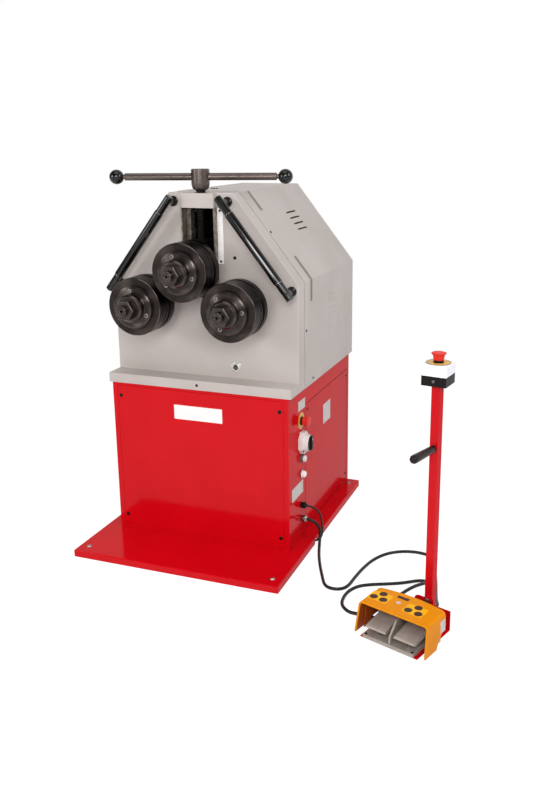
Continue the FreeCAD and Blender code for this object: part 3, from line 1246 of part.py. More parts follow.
# ---------------------------------------------------------------- assembly
def build():
    keep("base_plate", base_plate())
    keep("cabinet", cabinet())
    keep("front_panel", front_panel())
    keep("side_door", side_door())
    keep("head_frame", head_frame())
    keep("head_cover", head_cover())
    keep("guide_block", guide_block())
    keep("screw_nut", screw_nut())
    keep("guide_rails", *guide_rails(), *guide_gibs())
    keep("position_scale", position_scale())
    keep("shaft_bearings", *shaft_bearings())
    keep("bearing_plate", bearing_plate())
    keep("gearbox", gearbox())
    keep("motor", motor())
    keep("control_board", control_board())
    keep("grab_tubes", *grab_tubes())
    keep("handle_ends", *handle_ends())
    keep("sight_glass", sight_glass())
    keep("label_plates", *label_plates())
    keep("fasteners", *fasteners())
    keep("switch_body", switch_body())
    keep("control_bezels", *control_bezels())
    keep("cable_glands", *cable_glands())

    keep("slide_carriage", slide_carriage())
    keep("carriage_bearings", *carriage_bearings())
    keep("top_screw", top_screw())
    keep("cross_bar", cross_bar())
    keep("ball_knobs", *ball_knobs())

    gear_rear = BEARING_PLATE_Y + BEARING_PLATE
    for name, x, z, rear, phase in (("top", 0, TOP_Z, SLIDE_REAR + 4, 105),
                                    ("left", -LOWER_X, LOWER_Z, gear_rear, 96),
                                    ("right", LOWER_X, LOWER_Z, gear_rear, 127)):
        keep(name + "_shaft", *roller_shaft(x, z, rear))
        keep(name + "_roll", *roll_set(x, z))
        keep(name + "_cover_disc", cover_disc(x, z, phase))
        keep(name + "_fasteners", *roller_fasteners(x, z, phase))
    keep("left_gear", gear(-LOWER_X, GEAR_Y, LOWER_Z, GEAR_TEETH, JOURNAL_R, mesh_phase(-1)))
    keep("right_gear", gear(LOWER_X, GEAR_Y, LOWER_Z, GEAR_TEETH, JOURNAL_R, mesh_phase(1)))
    keep("drive_pinion", pinion())

    keep("switch_knob", switch_knob())
    keep("push_button", push_button())
    keep("side_stop_button", mushroom(V(SIDE_X, CONTROL_Y, ESTOP_Z), X, Z))
    keep("box_stop_button", on_stand(mushroom(V(POST_U, POST_V, box_top()), Z, X)))

    keep("stand_base", on_stand(stand_base()))
    keep("stand_post", on_stand(stand_post()))
    keep("carry_grip", on_stand(carry_grip()))
    keep("stop_box_base", on_stand(stop_box_base()))
    keep("stop_box_lid", on_stand(stop_box_lid()))
    keep("pedal_base", on_stand(pedal_base()))
    keep("pedal_axle", on_stand(pedal_axle()), *[on_stand(one) for one in pedal_springs()])
    keep("right_pedal", on_stand(shifted(pedal())))
    keep("left_pedal", on_stand(shifted(mirrored(pedal()))))
    keep("pedal_hood", on_stand(pedal_hood()))

    keep("thin_cable", cord(THIN_ROUTE, CABLE_THIN, "thin_cable"))
    keep("thick_cable", cord(THICK_ROUTE, CABLE_THICK, "thick_cable"))
    keep("pedal_cable", cord(PEDAL_ROUTE, CABLE_THICK, "pedal_cable"))


build()
os.makedirs("parts", exist_ok=True)
for node, shape in PARTS.items():
    if not shape.isValid():
        print("invalid shape:", node)
    shape.exportStep("parts/" + node + ".step")
print(len(PARTS), "nodes")
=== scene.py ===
# %% [markdown]
# # A ring roller with its pedal stand
# A ring roller bends bars and tubes into hoops between three hard steel rollers. The solids come from the
# CAD model as a fixed frame. This lesson gives each of them the form and finish of the real piece, one
# piece at a time, and ends with the light and the floor.

import json
import math

import bmesh
import bpy
from mathutils import Matrix, Vector


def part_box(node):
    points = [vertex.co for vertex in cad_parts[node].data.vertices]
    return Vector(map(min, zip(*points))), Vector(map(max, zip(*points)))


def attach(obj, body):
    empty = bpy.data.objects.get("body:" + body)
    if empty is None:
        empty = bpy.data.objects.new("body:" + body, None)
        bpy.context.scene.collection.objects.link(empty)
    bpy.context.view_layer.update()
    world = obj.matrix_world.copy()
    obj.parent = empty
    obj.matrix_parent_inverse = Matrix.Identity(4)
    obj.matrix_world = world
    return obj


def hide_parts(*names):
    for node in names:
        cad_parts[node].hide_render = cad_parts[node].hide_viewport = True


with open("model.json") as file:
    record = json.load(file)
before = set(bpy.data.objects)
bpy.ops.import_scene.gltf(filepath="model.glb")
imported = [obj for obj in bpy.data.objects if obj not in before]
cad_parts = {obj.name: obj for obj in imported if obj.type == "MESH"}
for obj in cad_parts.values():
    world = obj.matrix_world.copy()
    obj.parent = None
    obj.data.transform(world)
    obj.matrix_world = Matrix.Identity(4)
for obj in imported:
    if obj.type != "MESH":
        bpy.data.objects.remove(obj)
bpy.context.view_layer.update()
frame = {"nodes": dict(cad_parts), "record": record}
MM = 0.001


def linked(name, data):
    """A new object of the scene."""
    made = bpy.data.objects.new(name, data)
    bpy.context.scene.collection.objects.link(made)
    return made


# %% [markdown]
# ## The camera
# The camera comes first, because every later choice is judged through it. It stands to the right of the
# machine, a little above the rollers, and looks slightly down. A small shift stands for the crop of the
# picture; the lens stays a normal one.

# %% The camera
EYE = Vector((1.26594, -2.68863, 1.38221))
YAW, PITCH, ROLL = -0.3560014, 0.2486497, -0.0075697
FRAME_WIDTH, FRAME_HEIGHT = 540, 800
FOCAL = 851.869
CENTRE = (294.444, 354.956)
SENSOR = 36.0

lens = bpy.data.cameras.new("camera")
lens.sensor_fit = "VERTICAL"
lens.sensor_height = SENSOR
lens.lens = FOCAL * SENSOR / FRAME_HEIGHT
lens.shift_x = (FRAME_WIDTH / 2 - CENTRE[0]) / FRAME_HEIGHT
lens.shift_y = (CENTRE[1] - FRAME_HEIGHT / 2) / FRAME_HEIGHT
lens.clip_end = 40
camera = linked("camera", lens)
look = Vector((math.sin(YAW) * math.cos(PITCH), math.cos(YAW) * math.cos(PITCH), -math.sin(PITCH)))
level = Vector((math.cos(YAW), -math.sin(YAW), 0))
upright = level.cross(look)
right = level * math.cos(ROLL) + upright * math.sin(ROLL)
up = upright * math.cos(ROLL) - level * math.sin(ROLL)
camera.matrix_world = Matrix.Translation(EYE) @ Matrix((right, up, -look)).transposed().to_4x4()
bpy.context.scene.camera = camera
print("lens: %.1f mm" % lens.lens)

# %% [markdown]
# ## Colours and nodes
# Paint charts give colours as sRGB hex values, and Blender mixes light in linear values, so one function
# turns the first into the second. A second function adds a node, gives it its settings and joins its
# inputs; every finish below is written with it.

# %% Colours and nodes
def linear(code):
    """An sRGB hex colour as linear RGBA."""
    values = [int(code[i:i + 2], 16) / 255 for i in (1, 3, 5)]
    return [v / 12.92 if v <= 0.04045 else ((v + 0.055) / 1.055) ** 2.4 for v in values] + [1.0]


def add(tree, kind, settings=None, **inputs):
    """Adds a node; an input is a number, a colour or another node's socket, under its name or its number."""
    node = tree.nodes.new(kind)
    for key, value in (settings or {}).items():
        setattr(node, key, value)
    for key, value in inputs.items():
        numbered = key[0] == "_" and key[1:].isdigit()
        socket = node.inputs[int(key[1:])] if numbered else node.inputs[key.replace("_", " ")]
        if isinstance(value, bpy.types.NodeSocket):
            tree.links.new(value, socket)
        else:
            socket.default_value = value
    return node


def new_finish(name, roughness, metallic=0.0, coat=0.0, coat_roughness=0.1, specular=0.5, anisotropic=0.0):
    """A material with its surface shader, and the object's own coordinates."""
    finish = bpy.data.materials.new(name)
    finish.use_nodes = True
    tree = finish.node_tree
    shader = tree.nodes["Principled BSDF"]
    for socket, value in (("Roughness", roughness), ("Metallic", metallic), ("Coat Weight", coat),
                          ("Coat Roughness", coat_roughness), ("Specular IOR Level", specular),
                          ("Anisotropic", anisotropic)):
        shader.inputs[socket].default_value = value
    place = add(tree, "ShaderNodeTexCoord").outputs["Object"]
    return finish, tree, shader, place


def varied(tree, place, size_mm, low, high, detail=4.0):
    """Cloudy noise with patches of about size_mm, scaled to run from low to high."""
    noise = add(tree, "ShaderNodeTexNoise", Vector=place, Scale=1 / (size_mm * MM), Detail=detail)
    spread = add(tree, "ShaderNodeMapRange", Value=noise.outputs["Fac"], _1=0.3, _2=0.7, _3=low, _4=high)
    return spread.outputs["Result"]


def clouded(tree, shader, place, colours, patch_mm, wear_mm, low, high, detail=4.0):
    """Two colours in patches of patch_mm, and a roughness from low to high that changes over wear_mm."""
    first, second = (linear(colour) for colour in colours)
    patches = varied(tree, place, patch_mm, 0.0, 1.0)
    blend = add(tree, "ShaderNodeMix", {"data_type": "RGBA"}, Factor=patches, _6=first, _7=second)
    tree.links.new(blend.outputs[2], shader.inputs["Base Color"])
    tree.links.new(varied(tree, place, wear_mm, low, high, detail), shader.inputs["Roughness"])


def bumped(tree, shader, height, depth_mm, also_coat=False):
    """Lets a height pattern bend the light as if it stood depth_mm proud."""
    bump = add(tree, "ShaderNodeBump", Height=height, Strength=1.0, Distance=depth_mm * MM)
    tree.links.new(bump.outputs["Normal"], shader.inputs["Normal"])
    if also_coat:
        tree.links.new(bump.outputs["Normal"], shader.inputs["Coat Normal"])


# %% [markdown]
# ## Paint
# The sheet metal is enamelled: a smooth paint is sprayed on and baked, which leaves a tough glossy film
# with a faint orange peel. Orange peel is a slow ripple of some millimetres and only thousandths of a
# millimetre high, so it hardly shows as bumps, but it breaks up the edges of reflections. A little noise
# in the colour and in the roughness stands for handling and dust. The head has a matter, finely textured
# grey, and the pedal's guard a thick orange-yellow.

# %% Paint
def enamel(name, colour, shade, roughness, coat=0.0, coat_roughness=0.1, specular=0.5, peel_mm=2.5,
           peel_depth=0.006):
    """Baked enamel with orange peel; shade is the colour of its slightly dusty patches."""
    finish, tree, shader, place = new_finish(name, roughness, 0.0, coat, coat_roughness, specular)
    clouded(tree, shader, place, (colour, shade), 160, 60, roughness - 0.05, roughness + 0.06)
    peel = add(tree, "ShaderNodeTexNoise", Vector=place, Scale=1 / (peel_mm * MM), Detail=2.0)
    bumped(tree, shader, peel.outputs["Fac"], peel_depth, also_coat=coat > 0)
    return finish


# A deep, even red under a thin film: soft bands of light on the folds, no sparkle.
RED_PAINT = enamel("red_gloss_enamel", "#C70614", "#BF0511", 0.42, 0.3, 0.13, 0.0)
# Warm grey with a fine texture, so lamps leave only a faint sheen.
GREY_PAINT = enamel("light_grey_textured_enamel", "#BAB1AD", "#B3AAA5", 0.5, 0.08, 0.2, 0.35, 1.4, 0.008)
# Painted highlight: the head's rounded front edge gets a lighter grey for the line of light it catches.
GREY_PAINTED_FOLD_HIGHLIGHT = enamel("grey_enamel_painted_highlight_on_the_fold", "#CEC6C2", "#C8C0BC", 0.42, 0.15, 0.2, 0.4, 1.4, 0.006)
# Painted shade: the floors of the pressed grooves get a darker grey because less light reaches them.
GREY_PAINTED_GROOVE_SHADE = enamel("grey_enamel_painted_shade_in_the_grooves", "#8A807C", "#827874", 0.6, 0.0, 0.2, 0.2, 1.4, 0.008)
# A thick warm coat without much shine.
YELLOW_PAINT = enamel("orange_yellow_enamel", "#DF8C0A", "#D58207", 0.4, 0.07, 0.15, 0.05)
# Painted shade: the guard's inner faces, screen and cheek get a deep, darker orange for the shade inside it.
GUARD_PAINTED_SHADE = enamel("orange_enamel_painted_shade", "#B4541C", "#A04818", 0.5, 0.05, 0.2, 0.1)
# Printed ink is a purer yellow than the paint round it.
YELLOW_PRINT = enamel("bright_yellow_print", "#EEAE08", "#E7A406", 0.4, 0.1, 0.2, 0.1)
# Near a black mirror: a tube shows one narrow bright line.
BLACK_ENAMEL = enamel("black_gloss_enamel", "#0A0707", "#0C0909", 0.2, 0.75, 0.06, 0.12, 8.0, 0.0005)
# Blue-grey and dull, as oily machine paint is.
DRIVE_PAINT = enamel("drive_grey_enamel", "#5F686E", "#586067", 0.45, 0.2, 0.2)
print("paints: from", RED_PAINT.name, "to", DRIVE_PAINT.name)

# %% [markdown]
# ## Steel
# The rollers are hardened and blackened: a hot salt bath turns the steel's skin to black iron oxide and
# leaves it a little oily. Under that skin the cuts of the lathe still show as fine rings, so a turned
# piece carries its own measure of where the tool was, a value named turning that grows along its outline.
# Noise over that one value gives rings that follow any turned face. The rings also stretch highlights
# across themselves. A second value, around, gives their direction at each point, and the shader's
# anisotropy runs square to it, which gives a turned face its two bright fans. A real lathe's rings lie
# 0.1 to 0.3 mm apart; here they are 0.7 to 1.5 mm apart, because finer ones wouldn't show.

# %% Steel
def steel(name, colour, shade, roughness, rings_mm=None, ring_depth=0.01, grain=None, metallic=1.0,
          anisotropic=0.0, patch_mm=25.0):
    """Steel with lathe rings of rings_mm where it was turned, or with a ground grain along one axis."""
    finish, tree, shader, place = new_finish(name, roughness, metallic, anisotropic=anisotropic)
    clouded(tree, shader, place, (colour, shade), patch_mm, 45, roughness - 0.02, roughness + 0.03, 1.0)
    if rings_mm:
        along = add(tree, "ShaderNodeAttribute", {"attribute_name": "turning"}).outputs["Fac"]
        rings = add(tree, "ShaderNodeTexNoise", {"noise_dimensions": "1D"}, W=along,
                    Scale=1 / (rings_mm * MM), Detail=3.0)
        bumped(tree, shader, rings.outputs["Fac"], ring_depth)
    elif grain:
        grind = add(tree, "ShaderNodeMapping", _3=grain, Vector=place).outputs["Vector"]
        lines = add(tree, "ShaderNodeTexNoise", Vector=grind, Scale=1 / (1.2 * MM), Detail=3.0)
        bumped(tree, shader, lines.outputs["Fac"], ring_depth)
    if anisotropic:
        around = add(tree, "ShaderNodeAttribute", {"attribute_name": "around"}).outputs["Vector"]
        settings = {"vector_type": "VECTOR", "convert_from": "OBJECT", "convert_to": "WORLD"}
        turn = add(tree, "ShaderNodeVectorTransform", settings, Vector=around)
        tree.links.new(turn.outputs["Vector"], shader.inputs["Tangent"])
        shader.inputs["Anisotropic Rotation"].default_value = 0.25
    return finish


# Almost no colour left, with rings that only show where light grazes.
BLACKENED = steel("blackened_roller_steel", "#1F1B19", "#161312", 0.33, 0.9, 0.004)
# Turned faces throw light back in two fans.
ROLLER_FACE = steel("blackened_turned_face", "#423B38", "#342E2C", 0.36, 0.9, 0.003, anisotropic=0.85)
# More oil stays on the cover discs, so their fans are lighter.
OILED_FACE = steel("oiled_blackened_face", "#544D49", "#3E3835", 0.34, 0.7, 0.002, anisotropic=0.9)
# Spanners and hands wear the black to grey on the flats.
BLACK_NUT = steel("blackened_nut_steel", "#554E4A", "#403A37", 0.3, 1.5, 0.001)
# Small screws stay black and dull.
BLACK_SCREW = steel("black_oxide_screw", "#2C2826", "#201D1B", 0.35, 1.5, 0.002)
# Rubbed through on an edge, the steel draws a thin light line; its lighter colour is also a painted
# highlight.
WORN_EDGE_AND_PAINTED_HIGHLIGHT = steel("edge_rubbed_bright_and_painted_highlight", "#655D58", "#4A4440", 0.26, 1.5, 0.002)
# Cold-drawn bar is even and dark, with one long soft highlight.
DARK_BAR = steel("dark_drawn_steel", "#6B605B", "#5E5450", 0.34, patch_mm=80)
# Bare turned steel is pale and shows its rings.
TURNED = steel("turned_steel", "#A8A29C", "#97918B", 0.3, 0.8, 0.008)
# Mottled brown and pale, where oil stands in the scraper's marks.
GUIDE_STEEL = steel("scraped_guide_steel", "#A0968B", "#564D45", 0.42, grain=(1, 1, 0.06), ring_depth=0.01,
                    metallic=0.7, patch_mm=14)
# Oily iron, darkened to nearly black as painted shade deep in the slot.
SLIDE_IRON_PAINTED_SHADE = steel("oiled_slide_iron_painted_shade", "#2E2926", "#221E1C", 0.3, grain=(1, 1, 0.02), ring_depth=0.006)
# Milled teeth are a plain grey with a fine grain.
CUT_STEEL = steel("milled_gear_steel", "#7D7873", "#6B6661", 0.36, grain=(1, 0.03, 1), ring_depth=0.02)
# Zinc is bright and a little milky.
ZINC = steel("zinc_plated_steel", "#A6A49E", "#8A8882", 0.24, 1.2, 0.002)
# Bronze is brown, and warmer where it has run.
BRONZE = steel("bearing_bronze", "#8A6A45", "#6E5337", 0.38, grain=(1, 1, 0.03), ring_depth=0.012)
print("metals: from", BLACKENED.name, "to", BRONZE.name)

# %% [markdown]
# ## Plastics, rubber, castings and plates
# Moulded plastic takes the polish of its mould: a ball knob is smooth phenolic, a switch housing has a
# fine spark-eroded grain. Die-cast aluminium comes out of its mould with a slightly pitted skin. A blank
# anodised plate stands where a real machine carries its labels.

# %% Plastics, rubber, castings and plates
def moulded(name, colour, shade, roughness, grain_depth=0.006, grain_mm=0.8, metallic=0.0, coat=0.0,
            specular=0.5):
    """Moulded or cast surface with a fine grain."""
    finish, tree, shader, place = new_finish(name, roughness, metallic, coat, specular=specular)
    clouded(tree, shader, place, (colour, shade), 30, 18, roughness - 0.04, roughness + 0.05)
    grain = add(tree, "ShaderNodeTexNoise", Vector=place, Scale=1 / (grain_mm * MM), Detail=3.0)
    bumped(tree, shader, grain.outputs["Fac"], grain_depth)
    return finish


# Phenolic comes out like black glass, with small sharp highlights.
BALL_BLACK = moulded("polished_phenolic", "#0B0908", "#0E0C0B", 0.2, 0.0003, coat=0.2, specular=0.35)
# Spark-eroded moulds leave ABS a dull black; vinyl is shinier.
BLACK_PLASTIC = moulded("black_abs", "#171211", "#110D0C", 0.42, specular=0.15)
GRIP_RUBBER = moulded("black_grip_vinyl", "#1A1211", "#130D0C", 0.3, specular=0.25)
# A cold, even white.
WHITE_PLASTIC = moulded("white_polycarbonate", "#EEEEF2", "#E9E9ED", 0.4, 0.002, specular=0.2)
# Moulded red is lighter and pinker than the paint, and has no gloss.
RED_PLASTIC = moulded("red_abs", "#D8332C", "#D02B24", 0.42, 0.001, specular=0.12)
# A pale, slightly waxy yellow.
YELLOW_DISC = moulded("yellow_polystyrene", "#D9AE4E", "#D0A444", 0.42, 0.001)
# Greys from chalky to silvery: relays, bezels and the switch.
GREY_PLASTIC = moulded("grey_polyamide", "#A9A49F", "#A09A95", 0.42)
BEZEL_GREY = moulded("dark_grey_bezel", "#6C6764", "#5F5A57", 0.35, metallic=0.3)
SWITCH_GREY = moulded("silver_grey_abs", "#DDDAD7", "#D4D0CD", 0.38, specular=0.15)
# A polished lens keeps one bright spot.
LAMP_WHITE = moulded("white_lamp_lens", "#EAE4E2", "#E2DCDA", 0.16, 0.001)
# A sheath carries a soft line of light along the cable.
CABLE_SHEATH = moulded("black_cable_sheath", "#1B1614", "#14100F", 0.36, 0.002, 1.2, specular=0.3)
# The cast skin is a warm grey, faintly pitted.
CAST_GREY = moulded("die_cast_aluminium", "#A89D94", "#958B82", 0.42, 0.008, 1.4, 0.2, specular=0.3)
# Plates run from anodised grey to white; the scale strip's near white is a painted reflection of its satin
# metal, on which marks stand out.
BLANK_PLATE = moulded("anodised_blank_plate", "#C8C1BE", "#BEB7B4", 0.4, 0.001, specular=0.25)
NAME_PLATE = moulded("white_blank_plate", "#F2ECEA", "#ECE6E4", 0.36, 0.001, specular=0.3)
SCALE_PAINTED_REFLECTION = moulded("scale_strip_painted_reflection", "#FFFCFA", "#FAF5F2", 0.34, 0.001, specular=0.4)
# Nickel reflects the room in soft streaks; half of it is a pale diffuse colour, a painted reflection that
# keeps it bright.
PLATING_WITH_PAINTED_REFLECTION = moulded("nickel_plating_with_painted_reflection", "#DCD8D4", "#CFCBC6", 0.26, 0.0008, metallic=0.55)
# The board's resin is a dull green.
CIRCUIT_GREEN = moulded("circuit_board_laminate", "#2E5A3A", "#274F33", 0.4)
# Brown oil behind glass is dark under one clear reflection.
DARK_GLASS = moulded("oil_sight_glass", "#241A12", "#32251A", 0.06, 0.0005, coat=1.0)
# Ink is flat dark print. The door's gap, the louvres' mouths and their baffle are painted shade: flat and
# dark, where little light comes back.
PRINT_BROWN = moulded("dark_brown_print", "#3A210C", "#321C0A", 0.5, 0.001, specular=0.3)
GAP_PAINTED_SHADE = moulded("painted_shade_in_the_door_gap", "#4A0A08", "#3C0806", 0.8, specular=0.0)
LOUVRE_DARK = moulded("louvre_painted_shade", "#2E2927", "#262220", 0.8, specular=0.1)
print("moulded: from", BALL_BLACK.name, "to", LOUVRE_DARK.name)

# %% [markdown]
# ## From a mesh to a piece
# Every piece ends the same way: doubled points are merged, its faces are turned outwards, edges sharper
# than a limit stay crisp and the rest shade smoothly. A weighted-normal modifier keeps flats looking flat
# beside their rounded edges. The piece then rides on the body that it moves with, and stands for its
# CAD solids. Small trims that no solid stands for only ride.


def body_of(node):
    """The body that holds a CAD node."""
    groups = frame["record"]["behaviour"]["bodies"]
    return next(body for body, members in groups.items() if node in members)


def piece(bm, name, finishes, sharp=38, recalc=True):
    """Makes the bmesh an object with one or more finishes."""
    bmesh.ops.remove_doubles(bm, verts=bm.verts, dist=1e-6)
    if recalc:
        bmesh.ops.recalc_face_normals(bm, faces=bm.faces)
    for edge in bm.edges:
        edge.smooth = edge.calc_face_angle(0.0) < math.radians(sharp)
    for face in bm.faces:
        face.smooth = True
    mesh = bpy.data.meshes.new(name)
    bm.to_mesh(mesh)
    bm.free()
    for finish in finishes if isinstance(finishes, (list, tuple)) else [finishes]:
        mesh.materials.append(finish)
    made = linked(name, mesh)
    flats = made.modifiers.new("flats", "WEIGHTED_NORMAL")
    flats.keep_sharp = True
    return made


def stands_for(made, node, *others):
    """Hides the CAD nodes and lets the piece ride where they did."""
    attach(made, body_of(node))
    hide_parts(node, *others)
    return made


def trim(bm, name, finishes, body="machine"):
    """A small extra piece that only rides."""
    made = piece(bm, name, finishes)
    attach(made, body)
    return made


def sharp_edges(bm, limit=30):
    """Edges whose faces meet at more than limit degrees."""
    return [edge for edge in bm.edges if edge.calc_face_angle(0.0) > math.radians(limit)]


def bevelled(bm, edges, width_mm, segments, finish_number=-1):
    """Rounds the given edges; the new faces may have a finish of their own."""
    bmesh.ops.bevel(bm, geom=edges, offset=width_mm * MM, offset_type="OFFSET", affect="EDGES",
                    segments=segments, profile=0.5, material=finish_number, clamp_overlap=True)


def eased(bm, width_mm, segments=2, limit=30, where=None, finish_number=-1):
    """Rounds the sharp edges, or those for which where(edge) is true."""
    edges = [edge for edge in sharp_edges(bm, limit) if where is None or where(edge)]
    bevelled(bm, edges, width_mm, segments, finish_number)


def merged_copy(node):
    """A CAD node's triangles as one welded mesh with flat faces joined up."""
    bm = bmesh.new()
    bm.from_mesh(frame["nodes"][node].data)
    bmesh.ops.remove_doubles(bm, verts=bm.verts, dist=2e-6)
    bmesh.ops.dissolve_limit(bm, angle_limit=math.radians(0.6), verts=bm.verts, edges=bm.edges)
    for face in bm.faces:
        face.material_index = 0
    return bm


def pooled(parts):
    """Several bmeshes as one."""
    whole = bmesh.new()
    for part in parts:
        spare = bpy.data.meshes.new("spare")
        part.to_mesh(spare)
        part.free()
        whole.from_mesh(spare)
        bpy.data.meshes.remove(spare)
    return whole


def moved(bm, matrix):
    """Puts the whole bmesh in its place."""
    bmesh.ops.transform(bm, matrix=matrix, verts=bm.verts)
    if matrix.determinant() < 0:
        bmesh.ops.reverse_faces(bm, faces=bm.faces)
    return bm


def shift(x, y, z):
    """Matrix that moves by millimetres."""
    return Matrix.Translation(Vector((x, y, z)) * MM)


def aimed(place_mm, direction=(0, 0, 1)):
    """Matrix that carries the local z axis to a direction, from a place in millimetres."""
    return shift(*place_mm) @ Vector(direction).to_track_quat("Z", "Y").to_matrix().to_4x4()


def finished_by(bm, choose):
    """Gives each face the number of its finish, chosen from its centre in millimetres and its normal."""
    bm.normal_update()
    for face in bm.faces:
        face.material_index = choose(face.calc_center_median() / MM, face.normal)
    return bm


MIRROR = Matrix.Diagonal((-1, 1, 1, 1))
BOTH_SIDES = (Matrix.Identity(4), MIRROR)
FRONTWARD, REARWARD = (0, -1, 0), (0, 1, 0)

# %% [markdown]
# ## Turned forms
# Shafts, rings, washers, knobs and lenses are all turned on a lathe, and Blender's spin does the same: it
# sweeps an outline round an axis. The outline is a short list of distances and radii. Its edges are eased
# afterwards with a bevel, as a turner breaks each edge with a file.

# %% Turned forms
def turned(outline, ease=0.5, steps=96, segments=2, finish_number=-1):
    """Sweeps (distance along z, radius) pairs, in millimetres, round the z axis."""
    bm = bmesh.new()
    turning = bm.verts.layers.float.new("turning")
    points = []
    travelled = 0.0
    for k, (s, r) in enumerate(outline):
        if k:
            travelled += math.dist(outline[k - 1], (s, r))
        point = bm.verts.new((r * MM, 0, s * MM))
        point[turning] = travelled * MM
        points.append(point)
    edges = [bm.edges.new(pair) for pair in zip(points, points[1:])]
    bmesh.ops.spin(bm, geom=points + edges, cent=(0, 0, 0), axis=(0, 0, 1), angle=2 * math.pi,
                   steps=steps, use_merge=True, use_duplicate=False)
    bmesh.ops.remove_doubles(bm, verts=bm.verts, dist=1e-6)
    bmesh.ops.recalc_face_normals(bm, faces=bm.faces)
    if ease:
        eased(bm, ease, segments, 25, None, finish_number)
    return bm


def closed_turned(outline, ease=0.5, steps=96, segments=2, finish_number=-1):
    """A turned ring: its outline runs back to its first point."""
    return turned(outline + [outline[0]], ease, steps, segments, finish_number)


def turned_at(place_mm, direction, outline, ease=0.5, steps=64, segments=2, finish_number=-1):
    """A turned form set at a place and aimed along a direction."""
    return moved(turned(outline, ease, steps, segments, finish_number), aimed(place_mm, direction))


def marked_around(bm, centre_mm, axis):
    """Stores the direction of the lathe's rings at every point, for the anisotropic finishes."""
    around = bm.verts.layers.float_vector.new("around")
    for point in bm.verts:
        across = Vector(axis).cross(point.co - Vector(centre_mm) * MM)
        point[around] = across.normalized() if across.length > 1e-9 else Vector((1, 0, 0))
    return bm


def block(low, high, ease=0.8, segments=2):
    """A rectangular block between two corners in millimetres, with eased edges."""
    bm = bmesh.new()
    bmesh.ops.create_cube(bm, size=1.0)
    low, high = Vector(low) * MM, Vector(high) * MM
    bmesh.ops.scale(bm, vec=high - low, verts=bm.verts)
    bmesh.ops.translate(bm, vec=(low + high) / 2, verts=bm.verts)
    if ease:
        eased(bm, ease, segments)
    return bm


def slab(outline, thickness, ease=0.5, segments=2, limit=30):
    """A flat outline in x and y, in millimetres, extruded along z."""
    bm = bmesh.new()
    face = bm.faces.new([bm.verts.new((x * MM, y * MM, 0)) for x, y in outline])
    grown = bmesh.ops.extrude_face_region(bm, geom=[face])["geom"]
    tops = [item for item in grown if isinstance(item, bmesh.types.BMVert)]
    bmesh.ops.translate(bm, vec=(0, 0, thickness * MM), verts=tops)
    bmesh.ops.recalc_face_normals(bm, faces=bm.faces)
    if ease:
        eased(bm, ease, segments, limit)
    return bm


def polygon(sides, radius, phase=0.0):
    """Corners of a regular polygon."""
    angles = [phase + 2 * math.pi * k / sides for k in range(sides)]
    return [(radius * math.cos(angle), radius * math.sin(angle)) for angle in angles]


def rod_curve(name, kind, route, radius, finish, sides):
    """A round rod or cable along a route in metres, with closed ends."""
    curve = bpy.data.curves.new(name, "CURVE")
    curve.dimensions = "3D"
    line = curve.splines.new(kind)
    line.points.add(len(route) - 1)
    for point, co in zip(line.points, route):
        point.co = (*co, 1)
    if kind == "NURBS":
        line.order_u = 3
        line.use_endpoint_u = True
        curve.resolution_u = 16
    curve.bevel_depth = radius
    curve.bevel_resolution = sides
    curve.use_fill_caps = True
    curve.materials.append(finish)
    made = linked(name, curve)
    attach(made, "machine")
    return made


# %% [markdown]
# ## The red base and cabinet
# Sheet metal can't have knife edges: a press brake leaves each fold with a radius of about the sheet's
# thickness. The CAD solids have sharp folds, so copies of them are welded and their edges rounded, wide on
# the folds and narrow on cut edges. The panels sit flush in their openings with a thin gap all round. The
# four anchor holes have bright pressed-in rims.

# %% The red base and cabinet
def sheet_piece(node, finishes, ease=0.7, fold=None, fold_where=None, choose=None, segments=4, reshape=None,
                fold_finish=-1):
    """A welded copy of a CAD node with rounded folds and eased edges."""
    bm = merged_copy(node)
    if reshape:
        reshape(bm)
    if choose:
        finished_by(bm, choose)
    if fold:
        eased(bm, fold, segments, where=fold_where, finish_number=fold_finish)
    if ease:
        eased(bm, ease, 2, limit=50)
    return stands_for(piece(bm, node + "_finished", finishes, recalc=False), node)


def base_rim(edge):
    """Edges round the base plate's top and its four corners."""
    a, b = (v.co / MM for v in edge.verts)
    on_top = min(a.z, b.z) > 23.5
    outside = all(abs(v.x) > 374.5 or abs(v.y) > 457 for v in (a, b))
    return outside and (on_top or abs(a.z - b.z) > 20)


sheet_piece("base_plate", RED_PAINT, 0.5, 3.5, base_rim)
cabinet = sheet_piece("cabinet", RED_PAINT, 0.4)
sheet_piece("front_panel", RED_PAINT, 0.5)
sheet_piece("side_door", RED_PAINT, 0.5)
low, high = (Vector(corner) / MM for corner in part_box("side_door"))
# The door's gap is drawn as thin dark strips of painted shade.
BACK, FRONT, HALF_GAP = 327.2, 328.25, 0.9
gaps = [block((BACK, y - HALF_GAP, low.z), (FRONT, y + HALF_GAP, high.z), 0)
        for y in (low.y - 0.6, high.y + 0.6)]
gaps += [block((BACK, low.y - 1.5, z - HALF_GAP), (FRONT, high.y + 1.5, z + HALF_GAP), 0)
         for z in (low.z - 0.6, high.z + 0.6)]
trim(pooled(gaps), "door_gap_in_shade", GAP_PAINTED_SHADE)
rims = [moved(closed_turned([(-3, 7.9), (-3, 6.9), (0.6, 6.9), (0.6, 8.6), (0.05, 9), (0.05, 7.9)], 0.15, 32),
              aimed((x, y, 24))) for x in (-340, 340) for y in (-415, 415)]
trim(pooled(rims), "anchor_hole_rims", ZINC)
print("cabinet faces:", len(cabinet.data.polygons))

# %% [markdown]
# ## The head
# The head is a welded front frame, painted light grey, with a folded cover behind it. Its outline is cut
# and rounded by hand grinding, so the front edge gets a generous radius, which carries a lighter grey as
# a painted highlight. The cover's stiffening grooves are pressed in, and their floors carry a darker grey
# as painted shade, because less light reaches them.

# %% The head
HEAD_FRONT_Y = -156.0


